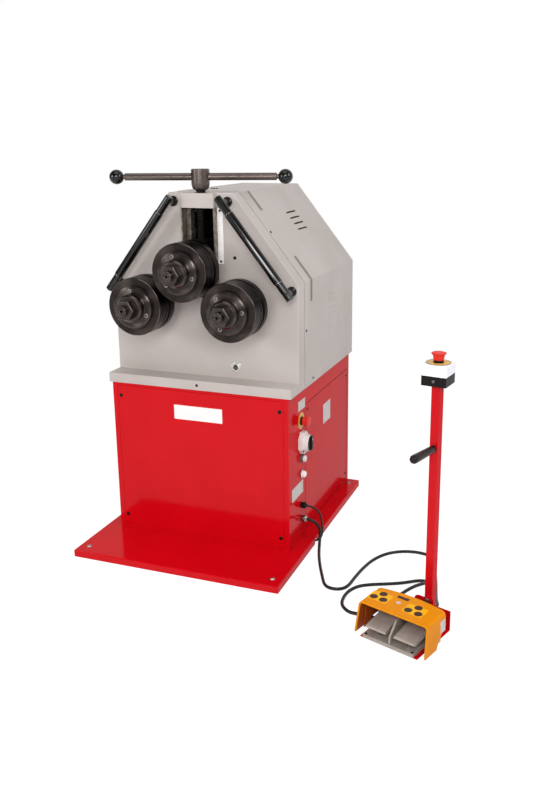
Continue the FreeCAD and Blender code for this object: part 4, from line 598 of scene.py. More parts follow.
def on_front_outline(edge):
    """Edges of the head's front face that run along its outline."""
    a, b = (v.co for v in edge.verts)
    on_face = abs(a.y - HEAD_FRONT_Y * MM) < 1e-5 and abs(b.y - HEAD_FRONT_Y * MM) < 1e-5
    middle = (a + b) / 2
    return on_face and middle.z > 0.6 and (abs(middle.x) > 0.2 or middle.z > 1.2) and abs(middle.x) > 0.06


def in_groove(centre, normal):
    """Number 1, the painted groove shade, for the floors of the cover's grooves."""
    return 1 if abs(centre.y + 28) < 9 and 850 < centre.z < 1213 and abs(normal.y) < 0.5 else 0


def wider_grooves(bm):
    """Gives the pressed grooves the soft shoulders that the press leaves, by widening them."""
    for point in bm.verts:
        off = point.co.y / MM + 28
        if abs(abs(off) - 6.5) < 0.1:
            point.co.y += math.copysign(4.5, off) * MM


# The rounded front edge takes the painted highlight grey.
head = sheet_piece("head_frame", [GREY_PAINT, GREY_PAINTED_FOLD_HIGHLIGHT], 0.6, 8.0, on_front_outline, fold_finish=1)
# The grooves' floors take the darker painted shade grey.
cover = sheet_piece("head_cover", [GREY_PAINT, GREY_PAINTED_GROOVE_SHADE], 0.5, choose=in_groove, reshape=wider_grooves)
sheet_piece("guide_block", GREY_PAINT, 1.5)
print("head faces:", len(head.data.polygons) + len(cover.data.polygons))

# %% [markdown]
# ## Louvres and the roof's seam
# A louvre is a slit whose upper lip is pushed outwards by the press tool, deepest in its middle and
# running out at both ends. A grid bent by a sine gives that shape, and solidify gives it the sheet's
# thickness. On the slopes a thin dark lens under each lip is painted shade for the slit's mouth, and behind
# the louvres hangs a dark baffle in painted shade, so no light falls through the head.

# %% Louvres and the roof's seam
KNEE = Vector((338, 0, 927))
RUN, RISE = 224.0, 287.0
SLOPE = math.hypot(RUN, RISE)
ALONG = Vector((-RUN / SLOPE, 0, RISE / SLOPE))
OUTWARD = Vector((RISE / SLOPE, 0, RUN / SLOPE))


def on_face(origin_mm, upwards, outwards):
    """Matrix with local x up the face, local y along the machine and local z out of the face."""
    turn = Matrix((upwards, Vector((0, 1, 0)), outwards)).transposed().to_4x4()
    return shift(*origin_mm) @ turn


SLOPE_FACE = on_face(KNEE, ALONG, OUTWARD)
SIDE_FACE = on_face(Vector((338, 0, 0)), Vector((0, 0, 1)), Vector((1, 0, 0)))


def louvre(start, beyond):
    """One pushed-out lip; it begins this far beyond the lower edge of its slit."""
    bm = bmesh.new()
    bmesh.ops.create_grid(bm, x_segments=6, y_segments=24, size=0.5)
    for point in bm.verts:
        up, side = point.co.x + 0.5, point.co.y * 2
        swell = max(0.0, 1 - abs(side) ** 4) * math.cos(up * math.pi / 2)
        point.co = Vector((start + beyond + up * 9, 200 + side * 48, 0.9 + 2.9 * swell)) * MM
    bmesh.ops.solidify(bm, geom=bm.faces, thickness=0.8 * MM)
    return bm


def opening(start):
    """The painted shade under a lip: a thin dark lens on the face, widest in its middle."""
    swell = [(200 + 47 * k / 12, 1.7 * (1 - abs(k / 12) ** 3)) for k in range(-12, 13)]
    outline = [(start + 2 - w, y) for y, w in swell] + [(start + 3.5 + w, y) for y, w in swell[-2:0:-1]]
    return moved(slab(outline, 0.25, 0), shift(0, 0, 1.15))


PITCH = 24
lips, mouths, baffles = [], [], []
for face, starts, beyond in ((SLOPE_FACE, range(180, 276, PITCH), 5),
                             (SIDE_FACE, range(704, 872, PITCH), -1)):
    for flip in BOTH_SIDES:
        lips += [moved(louvre(start, beyond), flip @ face) for start in starts]
        screen = block((starts[0] - 15, 140, -13), (starts[-1] + 20, 260, -11), 0.4)
        baffles.append(moved(screen, flip @ face))
        if face is SLOPE_FACE:
            mouths += [moved(opening(start), flip @ face) for start in starts]
trim(pooled(lips), "louvre_lips", GREY_PAINT)
trim(pooled(mouths), "louvre_mouths_painted_shade", LOUVRE_DARK)
trim(pooled(baffles), "louvre_baffles_in_painted_shade", LOUVRE_DARK)
# A thin black strip along the roof's front seam draws its dark line.
trim(block((-114, -65, 1213.8), (93, -62, 1215.4), 0.3), "roof_seam_black_strip", BLACK_PLASTIC)
plugs = [turned_at((x, 54, 1214.8), (0, 0, 1), [(0, 0), (0, 4.5), (1.6, 4.5), (3, 3), (3.2, 0)], 0.3, 32)
         for x in (-57, -49, -38)]
trim(pooled(plugs), "roof_plugs", BLACK_PLASTIC)
print("louvres:", len(lips))

# %% [markdown]
# ## The guide of the top roller
# The slide runs between two scraped guide strips. Oil and grey iron make them brown and mottled, and the
# slide behind the screw is oily iron painted nearly black as the shade deep in the slot. Beside the slot a
# satin metal strip, painted near white as its bright reflection, carries a plain scale with a mark every
# 5 mm, longer at every second one.

# %% The guide of the top roller
sheet_piece("guide_rails", GUIDE_STEEL, 0.6)
sheet_piece("slide_carriage", SLIDE_IRON_PAINTED_SHADE, 1.0)
sheet_piece("position_scale", SCALE_PAINTED_REFLECTION, 0.3)
sheet_piece("screw_nut", BRONZE, 0.4)
marks = []
for k in range(32):
    z = 1000 + 5 * k
    marks.append(block((62.5, -158.25, z - 0.35), (70 if k % 2 == 0 else 67, -157.9, z + 0.35), 0))
trim(pooled(marks), "scale_marks", BEZEL_GREY)
print("scale marks:", len(marks))

# %% [markdown]
# ## Drive and other plain pieces
# Pieces with the right shape already only need their edges broken and their own finish. A node that holds
# several small solids gets its finishes by where they are.

# %% Drive and other plain pieces
STAND = Matrix.Translation((0.8, -0.537, 0)) @ Matrix.Rotation(math.radians(-18.5), 4, "Z")
TO_STAND = STAND.inverted()


def on_board(centre, normal):
    """Grey devices on the green board."""
    return 1 if centre.x > -322 else 0


def of_bezel(centre, normal):
    """Black stop collars, a grey bezel, and a lamp with a dark ring."""
    if centre.x > 400 or centre.z > 400:
        return 0
    if centre.z > 295:
        return 1
    reach = math.hypot(centre.y + 106, centre.z - 262)
    return 2 if reach < 12.6 else 1


def of_gland(centre, normal):
    """Only the lower gland on the cabinet is plated brass; the others are black nylon."""
    return 1 if 80 < centre.z < 120 and centre.x < 360 else 0


def of_plate(centre, normal):
    """Name plate, side plates, yellow discs and the pedal's plate."""
    if centre.y < -226:
        return 0 if centre.x < 330 else (2 if centre.z > 600 else 3)
    return 2 if math.hypot(centre.y + 106, centre.z - 454) < 30 else 1


def of_fastener(centre, normal):
    """The stand's hexagon bolt is plated, the socket screws are black."""
    spot = TO_STAND @ (centre * MM) / MM
    return 1 if centre.x > 700 and spot.z > 50 else 0


for node, finishes, ease, choose in (
        ("bearing_plate", DRIVE_PAINT, 1.0, None), ("gearbox", DRIVE_PAINT, 1.5, None),
        ("motor", DRIVE_PAINT, 0.6, None), ("left_gear", CUT_STEEL, 0.4, None),
        ("right_gear", CUT_STEEL, 0.4, None), ("drive_pinion", CUT_STEEL, 0.4, None),
        ("shaft_bearings", TURNED, 0.5, None), ("carriage_bearings", TURNED, 0.5, None),
        ("control_board", [CIRCUIT_GREEN, GREY_PLASTIC], 0.5, on_board),
        ("control_bezels", [BLACK_PLASTIC, BEZEL_GREY, LAMP_WHITE], 0.5, of_bezel),
        ("cable_glands", [BLACK_PLASTIC, ZINC], 0.4, of_gland),
        ("label_plates", [NAME_PLATE, BLANK_PLATE, YELLOW_DISC, PRINT_BROWN], 0.2, of_plate),
        ("fasteners", [BLACK_SCREW, ZINC], 0.2, of_fastener)):
    sheet_piece(node, finishes, ease, choose=choose)

SCREW_SPOTS = [((328, y, z), (1, 0, 0)) for y in (-40, 413) for z in (66, 476)]
SCREW_SPOTS += [((x, -226, z), FRONTWARD) for x in (-297, 297) for z in (70, 518)]
collars = [turned_at(place, way, [(0, 4), (0, 6.6), (0.5, 6.6), (1.0, 5.8), (1.0, 4), (0, 4)], 0, 32)
           for place, way in SCREW_SPOTS]
trim(pooled(collars), "screw_collars", BLACK_SCREW)
print("cover screws:", len(SCREW_SPOTS))

# %% [markdown]
# ## The rollers
# Each roller is a stack of hardened rings on a keyed shaft, held by a cover disc, a thick washer and a
# nut. They are turned from the same few measures, so one function makes all three. Where the blackening
# is rubbed off, the edges are bright, and their lighter finish is also a painted highlight, so the bevel
# that rounds an edge also gives it its own finish.

# %% The rollers
ROLL_FACE = -325.0
RINGS = ((0.0, 45.0, 95.0), (45.0, 16.0, 95.0), (61.0, 12.0, 74.0), (73.0, 28.0, 95.0))
SEAT, THREAD = 25.0, 17.0
COVER, WASHER, NUT, THREAD_END = 15.0, 22.0, 30.0, 14.0
NUT_ACROSS, SCREW_CIRCLE = 60, 55


def turned_faces(bm, rubbed_to=None):
    """Number 2 for the flat faces of a turned piece, and 1, worn edge with painted highlight, for bevels up
    to a distance from its front.
    """
    bm.normal_update()
    for face in bm.faces:
        slant = abs(face.normal.z)
        if slant > 0.95:
            face.material_index = 2
        elif rubbed_to and 0.4 < slant and face.calc_center_median().z < rubbed_to * MM:
            face.material_index = 1
        else:
            face.material_index = 0
    return bm


def ring_of_roll(start, width, radius):
    """One hardened ring with chamfered corners."""
    outline = [(start, SEAT), (start, radius - 2.5), (start + 2.5, radius), (start + width - 2.5, radius),
               (start + width, radius - 2.5), (start + width, SEAT)]
    return turned_faces(closed_turned(outline, 0.6, 128, 2, 1), 4)


def socket_screw():
    """A socket screw's head with its hexagon hole, flush in the cover disc."""
    return closed_turned([(0, 3.8), (0, 6.2), (0.8, 7.0), (3.2, 7.0), (3.2, 0.01), (2.6, 0.01), (2.6, 3.8)],
                         0.25, 36)


def roller(side, x, z, phase, back):
    """Rings, cover disc, fasteners and shaft of one roller; local z runs from its front to the rear."""
    centre = (x, ROLL_FACE, z)
    spot = aimed(centre, REARWARD)
    rings = marked_around(moved(pooled([ring_of_roll(*ring) for ring in RINGS]), spot), centre, REARWARD)
    stands_for(piece(rings, side + "_rings", [BLACKENED, WORN_EDGE_AND_PAINTED_HIGHLIGHT, ROLLER_FACE]), side + "_roll")
    front = -COVER
    washer_front = front - WASHER
    nut_front = washer_front - NUT
    disc = turned_faces(closed_turned([(front, THREAD), (front, 46), (front + 1, 47), (front + 1, 63),
                                       (front + 4, 69), (0, 69), (0, THREAD)], 0.5, 128, 2, 1))
    marked_around(moved(disc, spot), centre, REARWARD)
    stands_for(piece(disc, side + "_cover", [OILED_FACE, WORN_EDGE_AND_PAINTED_HIGHLIGHT, OILED_FACE]), side + "_cover_disc")
    washer = closed_turned([(front, THREAD), (front, 45), (washer_front + 6, 45), (washer_front, 39),
                            (washer_front, THREAD)], 0.7, 96)
    nut = moved(slab(polygon(6, NUT_ACROSS / math.sqrt(3)), NUT, 0), shift(0, 0, nut_front))
    outer_rim = [edge for edge in sharp_edges(nut) if all(v.co.z < (nut_front + 1) * MM for v in edge.verts)]
    bevelled(nut, outer_rim, 2.8, 3)
    eased(nut, 0.7)
    parts = [washer, nut]
    for k in range(3):
        angle = math.radians(phase + 120 * k)
        hole = (x + SCREW_CIRCLE * math.cos(angle), ROLL_FACE - COVER + 0.2,
                z + SCREW_CIRCLE * math.sin(angle))
        screw = finished_by(socket_screw(), lambda centre, normal: 2 if centre.z < 1.5 else 0)
        parts.append(moved(screw, spot.inverted() @ aimed(hole, REARWARD)))
    made = piece(moved(pooled(parts), spot), side + "_nut_and_screws", [BLACK_NUT, WORN_EDGE_AND_PAINTED_HIGHLIGHT, TURNED])
    stands_for(made, side + "_fasteners")
    end = nut_front - THREAD_END
    shoulder = (-172.3 if side == "top" else -166.3) - ROLL_FACE
    shaft = turned([(end + 12, 0), (end + 12, 2.4), (end + 1.5, 4), (end, 6), (end, 14.5),
                    (end + 2.5, THREAD), (washer_front, THREAD), (0, THREAD), (0, SEAT), (101, SEAT),
                    (101, 36), (shoulder, 36),
                    (shoulder, 30), (back - ROLL_FACE, 30), (back - ROLL_FACE, 0)], 0.6, 96, 2, 1)
    stands_for(piece(moved(shaft, spot), side + "_turned_shaft", [BLACK_NUT, WORN_EDGE_AND_PAINTED_HIGHLIGHT]), side + "_shaft")


for place in (("top", 0, 975, 105, 24), ("left", -166, 857, 96, 120), ("right", 166, 857, 127, 120)):
    roller(*place)
print("rollers: 3, with", len(RINGS), "rings each")

# %% [markdown]
# ## The T-handle
# A drawn bar passes through the screw's hub and carries a polished ball at each end. The screw's thread
# is drawn as rings at its pitch, which can't be told from a helix at this size.

# %% The T-handle
BAR_Z = 1265.0
SCREW_Y = -148.0
BAR_TURN = math.radians(15.0)
BAR_WAY = Vector((math.cos(BAR_TURN), math.sin(BAR_TURN), 0))
BAR_HALF, BALL_REACH, BALL_R = 250.0, 278.0, 24.0
bar = turned_at((0, SCREW_Y, BAR_Z), BAR_WAY,
                [(-BALL_REACH, 0), (-BALL_REACH, 7.5), (-BAR_HALF, 7.5), (-BAR_HALF, 12), (BAR_HALF, 12),
                 (BAR_HALF, 7.5), (BALL_REACH, 7.5), (BALL_REACH, 0)], 0.9, 64)
stands_for(piece(bar, "drawn_bar", DARK_BAR), "cross_bar")
balls = []
for side in (-1, 1):
    low = math.asin(8.5 / BALL_R)
    arc = [low + (math.pi - low) * k / 32 for k in range(33)]
    outline = [(-BALL_R * math.cos(low), 0)] + [(-BALL_R * math.cos(t), BALL_R * math.sin(t)) for t in arc]
    centre = Vector((0, SCREW_Y, BAR_Z)) + side * BALL_REACH * BAR_WAY
    balls.append(turned_at(centre, side * BAR_WAY, outline, 0, 64))
stands_for(piece(pooled(balls), "polished_balls", BALL_BLACK), "ball_knobs")

thread = [(1051.3, 0), (1051.3, 11), (1066.3, 11), (1066.3, 15.5)]
z = 1067.8
while z + 6 < 1222:
    thread += [(z, 15.5), (z + 1.5, 18), (z + 3, 18), (z + 4.5, 15.5)]
    z += 6
hub = [(1222, 15.5), (1222, 18), (1223.2, 21.7), (1226.6, 25.1), (1231.9, 27.7), (1238.6, 29.4), (1246, 30),
       (1288, 30), (1290, 28), (1290, 0)]
screw = turned_at((0, SCREW_Y, 0), (0, 0, 1), thread + hub, 0, 96)
# The thread down in the slot takes the darker black-screw finish as painted shade; the hub keeps the bar's
# finish.
finished_by(screw, lambda centre, normal: 1 if centre.z < 1221 else 0)
stands_for(piece(screw, "screw_and_hub", [DARK_BAR, BLACK_SCREW]), "top_screw")
print("thread turns:", (len(thread) - 4) // 4)

# %% [markdown]
# ## The grab handles
# Each sloping handle is a black enamelled tube over two solid ends. An end has a leg that stands on the
# head, with a round rosette at its foot. A thin bright line shows where the tube meets the end.

# %% The grab handles
TOP_FOOT, LOW_FOOT = Vector((98, -206, 1186)), Vector((317, -206, 905))
DOWN = (LOW_FOOT - TOP_FOOT).normalized()
HANDLE_END, ROSETTE = 43, Vector((0, 43, 0))
ends, tubes, joints = [], [], []
for flip in BOTH_SIDES:
    for foot, inward in ((TOP_FOOT, DOWN), (LOW_FOOT, -DOWN)):
        end = turned_at(foot - inward * 23, inward,
                        [(0, 0), (0, 10), (1.2, 11.8), (3.5, 13), (64, 13), (66, 12), (66, 0)], 0.4, 64)
        leg = turned_at(foot, REARWARD, [(-12, 0), (-12, 7), (-9, 10), (50, 10), (50, 0)], 0.4, 48)
        rosette = turned_at(foot + ROSETTE, REARWARD, [(-0.8, 0), (-0.8, 11), (0.6, 12.2), (0.6, 14),
                                                       (1.4, 16), (3, 17), (7, 17), (7, 0)], 0.3, 64)
        ends += [moved(one, flip) for one in (end, leg, rosette)]
        collar = turned_at(foot + inward * (HANDLE_END - 0.8), inward,
                           [(0, 12.5), (0, 14.2), (1.3, 14.2), (1.3, 12.5), (0, 12.5)], 0.2, 64)
        joints.append(moved(collar, flip))
    length = (LOW_FOOT - TOP_FOOT).length - 2 * HANDLE_END
    tube = turned_at(TOP_FOOT + DOWN * HANDLE_END, DOWN,
                     [(0, 12.5), (0, 13.6), (1.4, 15), (length - 1.4, 15), (length, 13.6), (length, 12.5),
                      (0, 12.5)], 0.4, 64)
    tubes.append(moved(tube, flip))
stands_for(piece(pooled(ends), "handle_ends_and_rosettes", BLACK_ENAMEL), "handle_ends")
stands_for(piece(pooled(tubes), "handle_tubes", BLACK_ENAMEL), "grab_tubes")
trim(pooled(joints), "handle_joint_lines", ZINC)
print("handle tubes: %.0f mm" % length)

# %% [markdown]
# ## The oil sight glass
# A plated hexagon on a round flange holds a window of glass over the brown oil.

# %% The oil sight glass
SIGHT = (115, -156, 637)
holder = [slab(polygon(6, 30 / math.sqrt(3), math.pi / 6), 6.5, 0.9),
          closed_turned([(5.5, 9.4), (5.5, 13.6), (7.2, 13.2), (8, 12), (8, 10.4), (7, 9.4)], 0.3, 64),
          closed_turned([(0, 12), (0, 18.6), (0.8, 18.6), (1.4, 18), (1.4, 12)], 0.2, 64)]
holder = [moved(part, aimed(SIGHT, FRONTWARD)) for part in holder]
stands_for(piece(pooled(holder), "sight_glass_holder", PLATING_WITH_PAINTED_REFLECTION), "sight_glass")
window = turned_at(SIGHT, FRONTWARD, [(5, 0), (5, 9.6), (6.4, 9.4), (7.2, 6), (7.5, 0)], 0, 48)
trim(window, "sight_window", DARK_GLASS)
print("sight glass at", SIGHT)

# %% [markdown]
# ## The controls on the side
# An emergency stop is a red mushroom on a black collar over a yellow disc. Below it sit the main switch,
# a push button and a pilot lamp, all of the size that fits 22 mm panel holes.

# %% The controls on the side
CONTROL_Y, WALL_X, SWITCH_Z = -106.0, 328.0, 378
MUSHROOM = [(8, 0), (8, 14.2), (10, 14.6), (20.6, 16.2), (23.4, 18.4), (25.6, 20.6), (26.8, 21), (27.8, 20.5),
            (28.5, 18.5), (29.1, 12), (29.3, 0)]


def stop_button(node, place, direction):
    """The red button of an emergency stop: a tapered skirt under a thin flat brim."""
    button = turned_at(place, direction, MUSHROOM, 0.3, 72)
    return stands_for(piece(button, node + "_moulded", RED_PLASTIC), node)


stop_button("side_stop_button", (WALL_X, CONTROL_Y, 454), (1, 0, 0))


def of_switch(centre, normal):
    """The knob's recess is darker than the switch's body."""
    inside = math.hypot(centre.y - CONTROL_Y, centre.z - SWITCH_Z) < 26 and centre.x < WALL_X + 33.9
    return 1 if inside and centre.x > WALL_X + 20 else 0


sheet_piece("switch_body", [SWITCH_GREY, BLACK_PLASTIC], 0.8, 2.5, lambda edge: all(
    abs(v.co.x - (WALL_X + 16) * MM) < 1e-5 for v in edge.verts), of_switch)


def on_wall(proud, height, outline, ease, steps):
    """A turned form that starts some millimetres proud of the cabinet's side."""
    return turned_at((WALL_X + proud, CONTROL_Y, height), (1, 0, 0), outline, ease, steps)


knob = on_wall(26.3, SWITCH_Z, [(0, 0), (0, 25), (8, 25), (8, 28.4), (8.9, 28), (9.2, 26.5), (9.2, 0)],
               0.2, 72)
ridge = block((WALL_X + 34, CONTROL_Y - 6, 355.5), (WALL_X + 41.4, CONTROL_Y + 6, 400.5), 2.4, 4)
stem = on_wall(1, SWITCH_Z, [(0, 0), (0, 5), (26, 5), (26, 0)], 0.3, 24)
stands_for(piece(pooled([knob, ridge, stem]), "switch_knob_moulded", BLACK_PLASTIC), "switch_knob")
window = block((WALL_X + 15.8, CONTROL_Y - 27, 350), (WALL_X + 16.8, CONTROL_Y - 15, 357), 0.3)
trim(window, "switch_window", PRINT_BROWN)
pointer = block((WALL_X + 41.2, CONTROL_Y - 1, 388), (WALL_X + 41.7, CONTROL_Y + 1, 399), 0.2)
trim(pointer, "knob_pointer", WHITE_PLASTIC, "switch_knob")
cap = on_wall(5, 319, [(0, 0), (0, 11.5), (10.6, 11.5), (12, 10), (12, 8.6), (11.3, 7.8), (11.3, 0)], 0.3, 48)
stands_for(piece(cap, "push_button_cap", SWITCH_GREY), "push_button")
print("controls at", CONTROL_Y, "mm on the wall at", WALL_X, "mm")

# %% [markdown]
# ## The pedal stand
# A folded floor plate carries a square post with a carry grip, and a box with a second emergency stop on
# its top. The grip is a vinyl sleeve that gets thicker towards its end, held by one screw.

# %% The pedal stand
POST_U, POST_V, BOX_TOP = 19.0, 104.5, 787.0


def vertical(edge):
    """Upright edges."""
    a, b = (v.co for v in edge.verts)
    return abs(a.z - b.z) > 0.02 and math.hypot(a.x - b.x, a.y - b.y) < 1e-4


def lid_rim(edge):
    """The lid's outer corners and its top rim."""
    return all(v.co.z > (BOX_TOP - 0.5) * MM for v in edge.verts) or vertical(edge)


def in_world(spot, direction=None):
    """A place or a direction of the stand's own frame, in the world and in millimetres."""
    if direction:
        return STAND.to_3x3() @ Vector(direction)
    return STAND @ (Vector(spot) * MM) / MM


def from_stand(points):
    """Places of the stand's own frame in millimetres, as places in the world in metres."""
    return [tuple(STAND @ (Vector(p) * MM)) for p in points]


sheet_piece("stand_base", RED_PAINT, 0.6)
sheet_piece("stand_post", RED_PAINT, 0.4, 2.6, vertical)
sheet_piece("stop_box_base", BLACK_PLASTIC, 0.4, 2.0, vertical)
sheet_piece("stop_box_lid", WHITE_PLASTIC, 0.4, 2.4, lid_rim)
lid_centre = in_world((POST_U, POST_V, BOX_TOP))
stop_button("box_stop_button", lid_centre, (0, 0, 1))
outline_ring = closed_turned([(0.9, 32.8), (0.9, 34.6), (0.05, 34.8), (1.4, 34.4), (1.4, 33)], 0, 96)
trim(moved(outline_ring, aimed(lid_centre)), "yellow_disc_outline", BEZEL_GREY)
box_turn = math.radians(9)
face_way = Vector((math.sin(box_turn), -math.cos(box_turn), 0))
dimple = in_world(Vector((POST_U, POST_V, 741)) + 35.9 * face_way + Vector((-1, 0, 0)))
box_screw = turned_at(dimple, in_world(None, face_way),
                      [(0, 0), (0, 4.2), (0.5, 4.2), (0.9, 3.4), (0.3, 2.2), (0.3, 0)], 0.1, 32)
trim(box_screw, "box_screw", BEZEL_GREY)
grip_root = in_world((POST_U, POST_V - 13, 541))
grip_end = in_world((POST_U, POST_V - 13 - 109.8, 541))
grip_way = in_world(None, FRONTWARD)
grip = turned_at(grip_root, grip_way, [(0, 0), (0, 9.6), (3, 10.2), (30, 11), (96, 12.5), (105, 12.3),
                                       (109.5, 10.5), (111.2, 7.5), (111.2, 4.6), (110, 4.4), (110, 0)],
                0.4, 64)
stands_for(piece(grip, "vinyl_grip", GRIP_RUBBER), "carry_grip")
trims = [turned_at(grip_end, grip_way, [(0, 0), (0, 3.4), (1.0, 2.8), (1.4, 0)], 0, 32),
         turned_at(grip_root, grip_way, [(0, 9), (0, 10.9), (0.8, 10.7), (1.0, 9), (0, 9)], 0.1, 48)]
trim(pooled(trims), "grip_screw_and_washer", BLACK_NUT)
print("stand's box top:", BOX_TOP, "mm")

# %% [markdown]
# ## The double foot pedal
# A die-cast base with a fin between two cast pedals stands on the floor plate, under a bent steel guard.
# Castings need generous radii, so their edges are rounded more than those of sheet metal. The pedals'
# front lips are rolled over. The guard's inner faces carry a darker orange as painted shade, and a screen
# behind the pedals and a cheek on their left, in the same painted shade, close the guard. Plain
# dark discs are printed on two bright yellow fields on its top.

# %% The double foot pedal
def on_stand(bm, place_mm, turn=Matrix.Identity(4)):
    """Puts a bmesh at a place of the stand's own frame, after a turn of its own."""
    return moved(bm, STAND @ shift(*place_mm) @ turn)


def in_stand(vertex):
    """A vertex's place in the stand's own frame, in millimetres."""
    return TO_STAND @ vertex.co / MM


def pedal_lip(edge):
    """Front edges of a pedal's top."""
    a, b = (in_stand(v) for v in edge.verts)
    return max(a.y, b.y) < -88 and abs(a.x - b.x) > 20


sheet_piece("pedal_base", CAST_GREY, 1.8)
for node in ("left_pedal", "right_pedal"):
    sheet_piece(node, CAST_GREY, 1.4, 2.6, pedal_lip)
sheet_piece("pedal_axle", ZINC, 0.4)


def inside_guard(centre, normal):
    """Number 1, the painted shade, for the faces that look into the guard."""
    spot = TO_STAND @ (centre * MM) / MM
    way = TO_STAND.to_3x3() @ normal
    return 1 if way.z < -0.9 and spot.z > 60 or abs(way.x) > 0.3 and way.x * spot.x < 0 else 0


sheet_piece("pedal_hood", [YELLOW_PAINT, GUARD_PAINTED_SHADE], 1.0, choose=inside_guard)

HOOD_TOP = 97.0
bend = [math.radians(10 * k) for k in range(10)]
rim_path = [(-115, 6)] + [(-101 - 10 * math.cos(angle), 85 + 10 * math.sin(angle)) for angle in bend]
rim_path += [(-u, z) for u, z in reversed(rim_path)]
rim_route = from_stand([(u, -86 + (z - 5) * 16 / 92, z) for u, z in rim_path])
rod_curve("guard_rolled_rim", "POLY", rim_route, 3.2 * MM, YELLOW_PAINT, 4)
screen = pooled([block((-106, 19, 52), (106, 21, 93), 0.4), block((-106, 19.2, 14), (-76, 20.8, 54), 0.4)])
trim(moved(screen, STAND), "guard_rear_screen_in_painted_shade", GUARD_PAINTED_SHADE)
cheek = slab([(8, -58), (70, -50), (70, 22), (25, 22), (25, -19), (8, -19)], 2.0, 0.4)
stood = Matrix.Rotation(math.radians(-90), 4, "Y")
trim(on_stand(cheek, (-104, 0, 0), stood), "guard_left_cheek_in_painted_shade", GUARD_PAINTED_SHADE)
fields, discs = [], []
for spots, corner in ((((-93, -26), (-77, 1), (-61, -26)), (-77, -17)),
                      (((24, -29), (42, -2), (57, -30)), (41, -19))):
    field = slab([(-32, -24), (32, -24), (32, 24), (-32, 24)], 0.25, 0)
    uprights = [edge for edge in field.edges if abs(edge.verts[0].co.z - edge.verts[1].co.z) > 1e-5]
    bevelled(field, uprights, 6, 5)
    fields.append(on_stand(field, (*corner, HOOD_TOP)))
    for spot in spots:
        disc = turned([(0.25, 0), (0.25, 12), (0.5, 11.8), (0.5, 0)], 0, 40)
        discs.append(on_stand(disc, (*spot, HOOD_TOP)))
trim(pooled(fields), "yellow_fields", YELLOW_PRINT)
trim(pooled(discs), "dark_discs", PRINT_BROWN)
trim(on_stand(slab(polygon(4, 9), 0.3, 0.1), (-18, -12, HOOD_TOP)), "small_blank_sticker", BLANK_PLATE)
lean = Matrix.Rotation(math.radians(-2.4), 4, "Y")
flank = on_stand(block((0, 0, 0), (1.2, 26, 36), 0.3), (114.0, -3, 44), lean)
trim(flank, "blank_plate_on_guard", BLANK_PLATE)

# %% [markdown]
# ## Cords
# Each cable is one smooth spline through the route's points, with a round section. It leaves its gland
# straight, drops under its own weight and lies on the floor in loose curves.

# %% Cords
def cord(name, node, route, diameter):
    """A cable along a route in metres, standing for the CAD node that it hides."""
    made = rod_curve(name, "NURBS", route, diameter / 2, CABLE_SHEATH, 6)
    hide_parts(node)
    return made


def in_metres(points):
    """Places in millimetres, as places in metres."""
    return [tuple(Vector(p) * MM) for p in points]


THIN = in_metres([(336, -112, 149), (366, -112, 149), (387, -97, 129), (396, -91, 100), (399, -89, 66),
                  (398, -87, 34), (384, -86, 12), (358, -86, 4.7), (336, -86, 4.1)])
THICK = in_metres([(336, -112, 99), (373, -112, 99), (396, -105, 69), (396, -108, 36), (402, -134, 9),
                   (418, -184, 5.55), (444, -250, 5.55), (474, -316, 5.55), (501, -372, 5.55),
                   (540, -380, 5.55), (570, -357, 5.55), (575, -287, 5.55), (583, -218, 5.55),
                   (600, -146, 5.55), (634, -88, 5.55), (684, -55, 5.55), (740, -47, 5.55),
                   (791, -66, 5.55), (804, -121, 5.55), (816, -180, 5.55), (829, -236, 5.55),
                   (843, -308, 5.55), (853, -353, 13)])
THICK += from_stand([(19, 153.5, 24), (19, 125.5, 24)])
PEDAL = from_stand([(-84, 45, 45), (-84, 86, 45), (-83, 130, 46), (-77, 176, 45), (-70, 215, 39),
                    (-72, 246, 28), (-91, 264, 20), (-121, 264, 10), (-154, 229, 5.55),
                    (-192, 192, 5.55), (-230, 158, 5.55), (-254, 126, 5.55), (-260, 84, 5.55),
                    (-250, 42, 5.55), (-230, 4, 5.55), (-192, -16, 5.55), (-161, -14, 9),
                    (-124, -12, 18), (-91, -12, 18)])
cord("thin_machine_cable", "thin_cable", THIN, 0.007)
cord("thick_machine_cable", "thick_cable", THICK, 0.0105)
cord("pedal_switch_cable", "pedal_cable", PEDAL, 0.0105)
print("route points:", len(THIN), len(THICK), len(PEDAL))

# %% [markdown]
# ## Floor and light
# A large white floor and a white backdrop keep the setting plain. To the camera and in reflections the
# floor glows a little by itself, so it is white like paper wherever light falls on it, and only the
# machine's shadow stays. A key lamp from the front left models the forms, a lamp from the right front and
# a fill on the right open the shadows, and one hangs above. A narrow strip in front, rolled to lie along
# the handles, draws their bright lines. The studio behind the camera is dark, as studios are, so polished
# and blackened steel shows the lamps as clean bands; the backdrop and both sides behind are white.

# %% Floor and light
floor_mesh = bmesh.new()
bmesh.ops.create_grid(floor_mesh, x_segments=1, y_segments=1, size=12.0)
floor_finish, tree, shader, place = new_finish("white_studio_floor", 0.95, specular=0.0)
shader.inputs["Base Color"].default_value = linear("#E0E0E0")
WHITE = linear("#FFFFFF")
shaded = add(tree, "ShaderNodeBsdfDiffuse", Color=linear("#989898")).outputs[0]
glow = add(tree, "ShaderNodeEmission", Color=WHITE, Strength=0.82).outputs[0]
paper = add(tree, "ShaderNodeAddShader", _0=shaded, _1=glow).outputs[0]
far_white = add(tree, "ShaderNodeEmission", Color=WHITE, Strength=1.0).outputs[0]
reach = add(tree, "ShaderNodeVectorMath", {"operation": "LENGTH"}, _0=place).outputs["Value"]
fade = add(tree, "ShaderNodeMapRange", Value=reach, _1=1.2, _2=2.6, _3=0.0, _4=1.0).outputs["Result"]
seen_floor = add(tree, "ShaderNodeMixShader", _0=fade, _1=paper, _2=far_white).outputs[0]
rays = add(tree, "ShaderNodeLightPath").outputs
